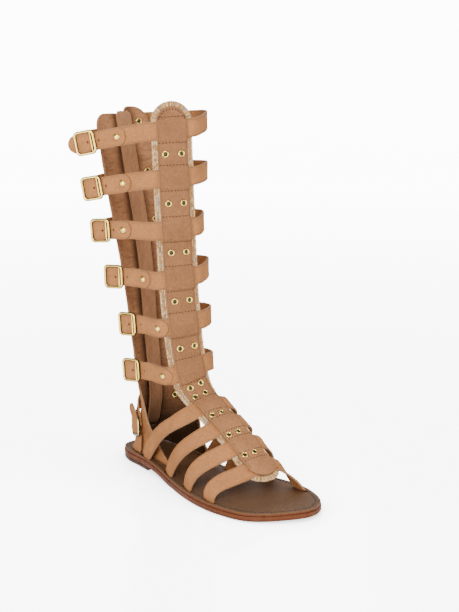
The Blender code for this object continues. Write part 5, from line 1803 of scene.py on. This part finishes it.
class SANDAL_OT_back(bpy.types.Operator):
    """Back panels with their counters, and the zip guard"""
    bl_idname = "sandal.back"
    bl_label = "Back panels"

    def execute(self, context):
        stitch_spots = []
        self.panel("panel_lateral", -1, LATERAL_PANEL_TOP, 4, stitch_spots)
        self.panel("panel_medial", 1, MEDIAL_PANEL_TOP, 5, stitch_spots)
        set_on_points("panel_stitches", stitch_spots, thread("stitch", 1.9, 0.55, 0.45, 0.05), "light_thread",
                      "panel_leather", 0.08, 0.05, 12)
        guard_lift = TAPE_LIFT - ZIP_TAPE_THICKNESS / 2 - GAP - GUARD_THICKNESS / 2
        length = LATERAL_PANEL_TOP + 2 - GUARD_BOTTOM
        heights = [GUARD_BOTTOM + length * i / 110 for i in range(111)]

        def guard_half(i):
            from_end = min((heights[i] - heights[0]) * 0.5, heights[-1] - heights[i])
            return GUARD_WIDTH / 2 - 3.0 * rounded_off(max(1 - from_end / 3.0, 0.0))

        guard = back_sheet("zip_guard_leather", heights, guard_half, lambda i, x: x, guard_lift,
                           GUARD_THICKNESS, ("guard", "edge", "guard"), 12, folds=0.3)
        settle(guard, "leather", "zip_guard")
        return {"FINISHED"}

    def panel(self, name, sign, top, column, stitch_spots):
        """One back panel with its counter; its stitches go to the spots."""
        heights = [8.0, 12.0]
        while heights[-1] < top - 3.0:
            heights.append(heights[-1] + (2.0 if heights[-1] < 64 or heights[-1] > top - 18 else 3.4))
        heights = [height for height in heights if height < top - 2.0]
        heights += [top - 1.6, top - 0.8, top - 0.3, top]

        def corner(height, radius):
            return radius * rounded_off(min(max(height - (top - radius), 0.0) / radius, 1.0))

        def reach_at(height):
            return table_value(BACK_LINE, height, column) - corner(height, PANEL_CORNER)

        def inner_at(height):
            return ZIP_HALF_GAP + corner(height, PANEL_INNER_CORNER)

        def half_at(i):
            return (reach_at(heights[i]) - inner_at(heights[i])) / 2

        def across_at(i, x):
            return sign * (inner_at(heights[i]) + half_at(i) + x)

        piece = back_sheet(name, heights, half_at, across_at, 0.0, PANEL_THICKNESS,
                           ("leather", "edge", "panel"), 26, 0.7, lambda point: footbed_top(-point.y) + 0.9)
        # distance from the zip line, read by the painted shadow beside the zip guard
        from_zip = piece.data.attributes.new("from_zip", "FLOAT", "POINT")
        for i, vertex in enumerate(piece.data.vertices):
            point = vertex.co / MM - OFFSET
            beside = point - back_point(point.z, 0.0, 0.0)[0]
            from_zip.data[i].value = math.hypot(beside.x, beside.y)
        settle(piece, "panel_leather", "back_" + name)
        beside_zip = ZIP_HALF_GAP + 1.8
        height = 16.0
        while height < top - 4.0:
            at_edge, next_edge = reach_at(height) - 2.0, reach_at(height + 1) - 2.0
            for reach, next_reach in ((beside_zip, beside_zip), (at_edge, next_edge)):
                for out, way in ((PANEL_THICKNESS / 2, 1), (-PANEL_THICKNESS / 2, -1)):
                    point, facing = back_point(height, sign * reach, out)
                    above = back_point(height + 1, sign * next_reach, out)[0]
                    stitch_spots.append((point, facing * way, (above - point).normalized()))
            height += PANEL_STITCH_SPACING


class SANDAL_OT_zip(bpy.types.Operator):
    """Zip tape with its coil, the slider and its pull"""
    bl_idname = "sandal.zip"
    bl_label = "Zip"

    def execute(self, context):
        heights = [blend(ZIP_BOTTOM, ZIP_TOP, i / 120) for i in range(121)]
        tape = back_sheet("zip_tape", heights, lambda i: ZIP_TAPE_WIDTH / 2, lambda i, x: x, TAPE_LIFT,
                          ZIP_TAPE_THICKNESS - 0.2, ["tape"], 10, 0.3)
        settle(tape, "zip_tape", "zip")
        chain_lift = TAPE_LIFT + ZIP_TAPE_THICKNESS / 2 + ZIP_CHAIN_THICKNESS / 2 - GAP
        spots = []
        count = round((ZIP_TOP - ZIP_BOTTOM - 8.0) / COIL_SPACING)
        for i in range(count):
            height = blend(ZIP_BOTTOM + 4.0, ZIP_TOP - 4.0, i / (count - 1))
            side = 0.75 if i % 2 else -0.75
            point, facing = back_point(height, side, chain_lift)
            ahead = back_point(height, side + 0.5, chain_lift)[0]
            spots.append((point, facing, (ahead - point).normalized()))
        set_on_points("zip_coil", spots, thread("coil", 3.3, 0.8, 1.9, 0.0, 8), "coil", "zip_tape", 0.02, 0.0,
                      13)
        self.slider(chain_lift + ZIP_CHAIN_THICKNESS / 2 + GAP)
        return {"FINISHED"}

    def slider(self, lift):
        """The slider's keel, body and bail, and the pull that hangs from the bail."""
        point, facing = back_point(SLIDER_HEIGHT, 0.0, lift)
        above, below = (back_point(SLIDER_HEIGHT + step, 0.0, lift)[0] for step in (4, -4))
        up = (above - below).normalized()
        side = up.cross(facing).normalized()
        facing = side.cross(up)

        def plate(name, size, middle, taper):
            width, height, depth = size
            rows = [blend(-height / 2, height / 2, i / 20) for i in range(21)]

            def half_at(i):
                share = rows[i] / (height / 2)
                round_off = math.sqrt(max(1 - max(abs(share) * 1.25 - 0.25, 0.0) ** 6, 0.02))
                return width / 2 * round_off * (1 - taper * max(-share, 0.0))

            made = swept(name, len(rows), lambda i, x, z: middle + up * rows[i] + side * x + facing * z,
                         half_at, depth, ["gold"], 6, 0.4)
            settle(made, "hardware", "zip_slider")

        keel_rise, plate_rise = SLIDER_KEEL[2], SLIDER_PLATE[2]
        plate("slider_keel", SLIDER_KEEL, point + facing * keel_rise / 2, 0.0)
        middle = point + facing * (keel_rise + plate_rise / 2 - GAP)
        plate("slider_body", SLIDER_PLATE, middle, 0.3)
        top = middle + facing * plate_rise / 2
        half_bail = ((BAIL_HALF_WIDTH, -0.5), (BAIL_HALF_WIDTH, 1.2), (BAIL_HALF_WIDTH - 0.3, 2.2),
                     (2.0, BAIL_RISE))
        bail = [top + side * (-x) + facing * out for x, out in half_bail]
        bail += [top + side * x + facing * out for x, out in half_bail[::-1]]
        settle(tube("slider_bail", bail, BAIL_WIRE, BAIL_WIRE, up, False, "gold"), "hardware", "zip_slider")

        bar = top + facing * BAIL_RISE
        turns = 28
        out = square_to(facing, side)
        down = side.cross(out)
        eye = [bar + side * shift + (out * x + down * y) * radius for radius, shift in EYE_RINGS
               for x, y in circle(turns)]
        eye = new_piece("pull_eye", eye, skin(len(EYE_RINGS), turns, True), ["gold"])
        settle(eye, "hardware", "zip_pull", body="pull")
        rows = [blend(-EYE_HALF_WIDTH, -PULL_LENGTH, i / 40) for i in range(41)]
        ahead = square_to(facing, UP)

        def half_at(i):
            share = (rows[i] + EYE_HALF_WIDTH) / (EYE_HALF_WIDTH - PULL_LENGTH)
            body = blend(EYE_HALF_WIDTH, PULL_WIDTH / 2, ease((share - 0.05) / 0.25))
            return body * math.sqrt(max(1 - max((share - 0.86) / 0.14, 0.0) ** 2, 0.03))

        def spot(i, x, z):
            return bar + Vector((0, 0, rows[i])) + side * x + ahead * z

        blade = swept("pull_blade", len(rows), spot, half_at, PULL_THICKNESS, ["gold"], 8, 0.45)
        settle(blade, "hardware", "zip_pull", body="pull")


# ---------------------------------------------------------------- the stage

CAMERA_PLACE = (-648.0, -1047.5, 382.2)
CAMERA_VIEW = (0.5756, 0.7952, -0.1908)
CAMERA_LENS = 76.47
FLOOR_LEVEL = -0.0002
WALL_START = 2.6
WALL_CURVE = 1.8
LIGHTS = (
    # name, size, power, place, aim
    ("key", (1.0, 1.0), 43.0, (-1.4, -1.55, 1.35), (0, 0, 0.15)),
    ("fill", (0.8, 1.4), 22.0, (1.2, -1.9, 0.8), (0, 0, 0.15)),
    ("low", (0.8, 0.5), 12.0, (-1.5, -0.7, 0.3), (0, 0, 0.05)),
    ("top", (1.6, 1.6), 18.0, (0.1, 0.4, 2.3), (0, 0, 0.1)),
    ("back", (1.2, 1.2), 14.0, (1.1, 1.8, 1.3), (0, 0, 0.15)),
)


def light(name, size, power, place_at, aim):
    """A soft rectangular lamp, aimed at a point."""
    lamp = bpy.data.lights.new(name, "AREA")
    lamp.shape = "RECTANGLE"
    lamp.size, lamp.size_y = size
    lamp.energy = power
    thing = in_scene(name, lamp)
    thing.location = place_at
    thing.rotation_mode = "QUATERNION"
    thing.rotation_quaternion = (Vector(aim) - Vector(place_at)).to_track_quat("-Z", "Y")


class SANDAL_OT_stage(bpy.types.Operator):
    """Pale floor that curves up behind, soft lights and the camera"""
    bl_idname = "sandal.stage"
    bl_label = "Stage"

    def execute(self, context):
        turns = 96
        profile = [(1.0, 0.0), (2.0, 0.0), (WALL_START, 0.0)]
        profile += [(WALL_START + WALL_CURVE * math.sin(math.radians(a)),
                     WALL_CURVE - WALL_CURVE * math.cos(math.radians(a))) for a in range(6, 91, 6)]
        profile.append((WALL_START + WALL_CURVE, 5.0))
        points = [(0.0, 0.0, FLOOR_LEVEL)] + [(radius * x, radius * y, height + FLOOR_LEVEL)
                                              for radius, height in profile for x, y in circle(turns)]
        faces = [(0, 1 + k, 1 + (k + 1) % turns) for k in range(turns)]
        faces += [(1 + a, 1 + d, 1 + c, 1 + b) for a, b, c, d in skin(len(profile), turns)]
        mesh = bpy.data.meshes.new("floor")
        mesh.from_pydata(points, [], faces)
        mesh.polygons.foreach_set("use_smooth", [True] * len(faces))
        mesh.materials.append(finish("floor"))
        in_scene("floor", mesh)

        world = bpy.data.worlds.new("studio")
        world.use_nodes = True
        background = world.node_tree.nodes["Background"].inputs
        background["Color"].default_value = (1.0, 1.0, 1.0, 1.0)
        background["Strength"].default_value = 0.34
        context.scene.world = world
        for lamp in LIGHTS:
            light(*lamp)

        lens = bpy.data.cameras.new("camera")
        lens.lens = CAMERA_LENS
        lens.sensor_width = 36.0
        lens.clip_start = 0.05
        lens.clip_end = 50.0
        camera = in_scene("camera", lens)
        view = Vector(CAMERA_VIEW).normalized()
        right = view.cross(UP).normalized()
        turn = Matrix((right, right.cross(view), -view)).transposed().to_4x4()
        camera.matrix_world = Matrix.Translation(place(Vector(CAMERA_PLACE))) @ turn
        context.scene.camera = camera
        return {"FINISHED"}


# ---------------------------------------------------------------- the add-on

class SANDAL_PT_panel(bpy.types.Panel):
    """Sizes, colours and one button for each group of pieces"""
    bl_idname = "SANDAL_PT_panel"
    bl_label = "Gladiator sandal"
    bl_space_type = "VIEW_3D"
    bl_region_type = "UI"
    bl_category = "Sandal"

    def draw(self, context):
        for group in (context.scene.sandal_sizes, context.scene.sandal_colours):
            box = self.layout.box()
            for name in type(group).__annotations__:
                box.prop(group, name)
        for operator in OPERATORS:
            self.layout.operator(operator.bl_idname)


OPERATORS = (SANDAL_OT_stage, SANDAL_OT_sole, SANDAL_OT_strip, SANDAL_OT_shaft_straps, SANDAL_OT_foot_straps,
             SANDAL_OT_heel_strap, SANDAL_OT_strip_rivets, SANDAL_OT_back, SANDAL_OT_zip)
CLASSES = (SandalSizes, SandalColours) + OPERATORS + (SANDAL_PT_panel,)


def register():
    for made in CLASSES:
        bpy.utils.register_class(made)
    bpy.types.Scene.sandal_sizes = bpy.props.PointerProperty(type=SandalSizes)
    bpy.types.Scene.sandal_colours = bpy.props.PointerProperty(type=SandalColours)


def unregister():
    del bpy.types.Scene.sandal_colours
    del bpy.types.Scene.sandal_sizes
    for made in reversed(CLASSES):
        bpy.utils.unregister_class(made)


def main():
    register()
    for operator in OPERATORS:
        group, name = operator.bl_idname.split(".")
        if getattr(getattr(bpy.ops, group), name)() != {"FINISHED"}:
            raise RuntimeError(f"{operator.bl_label} did not finish")


if __name__ == "__main__":
    main()
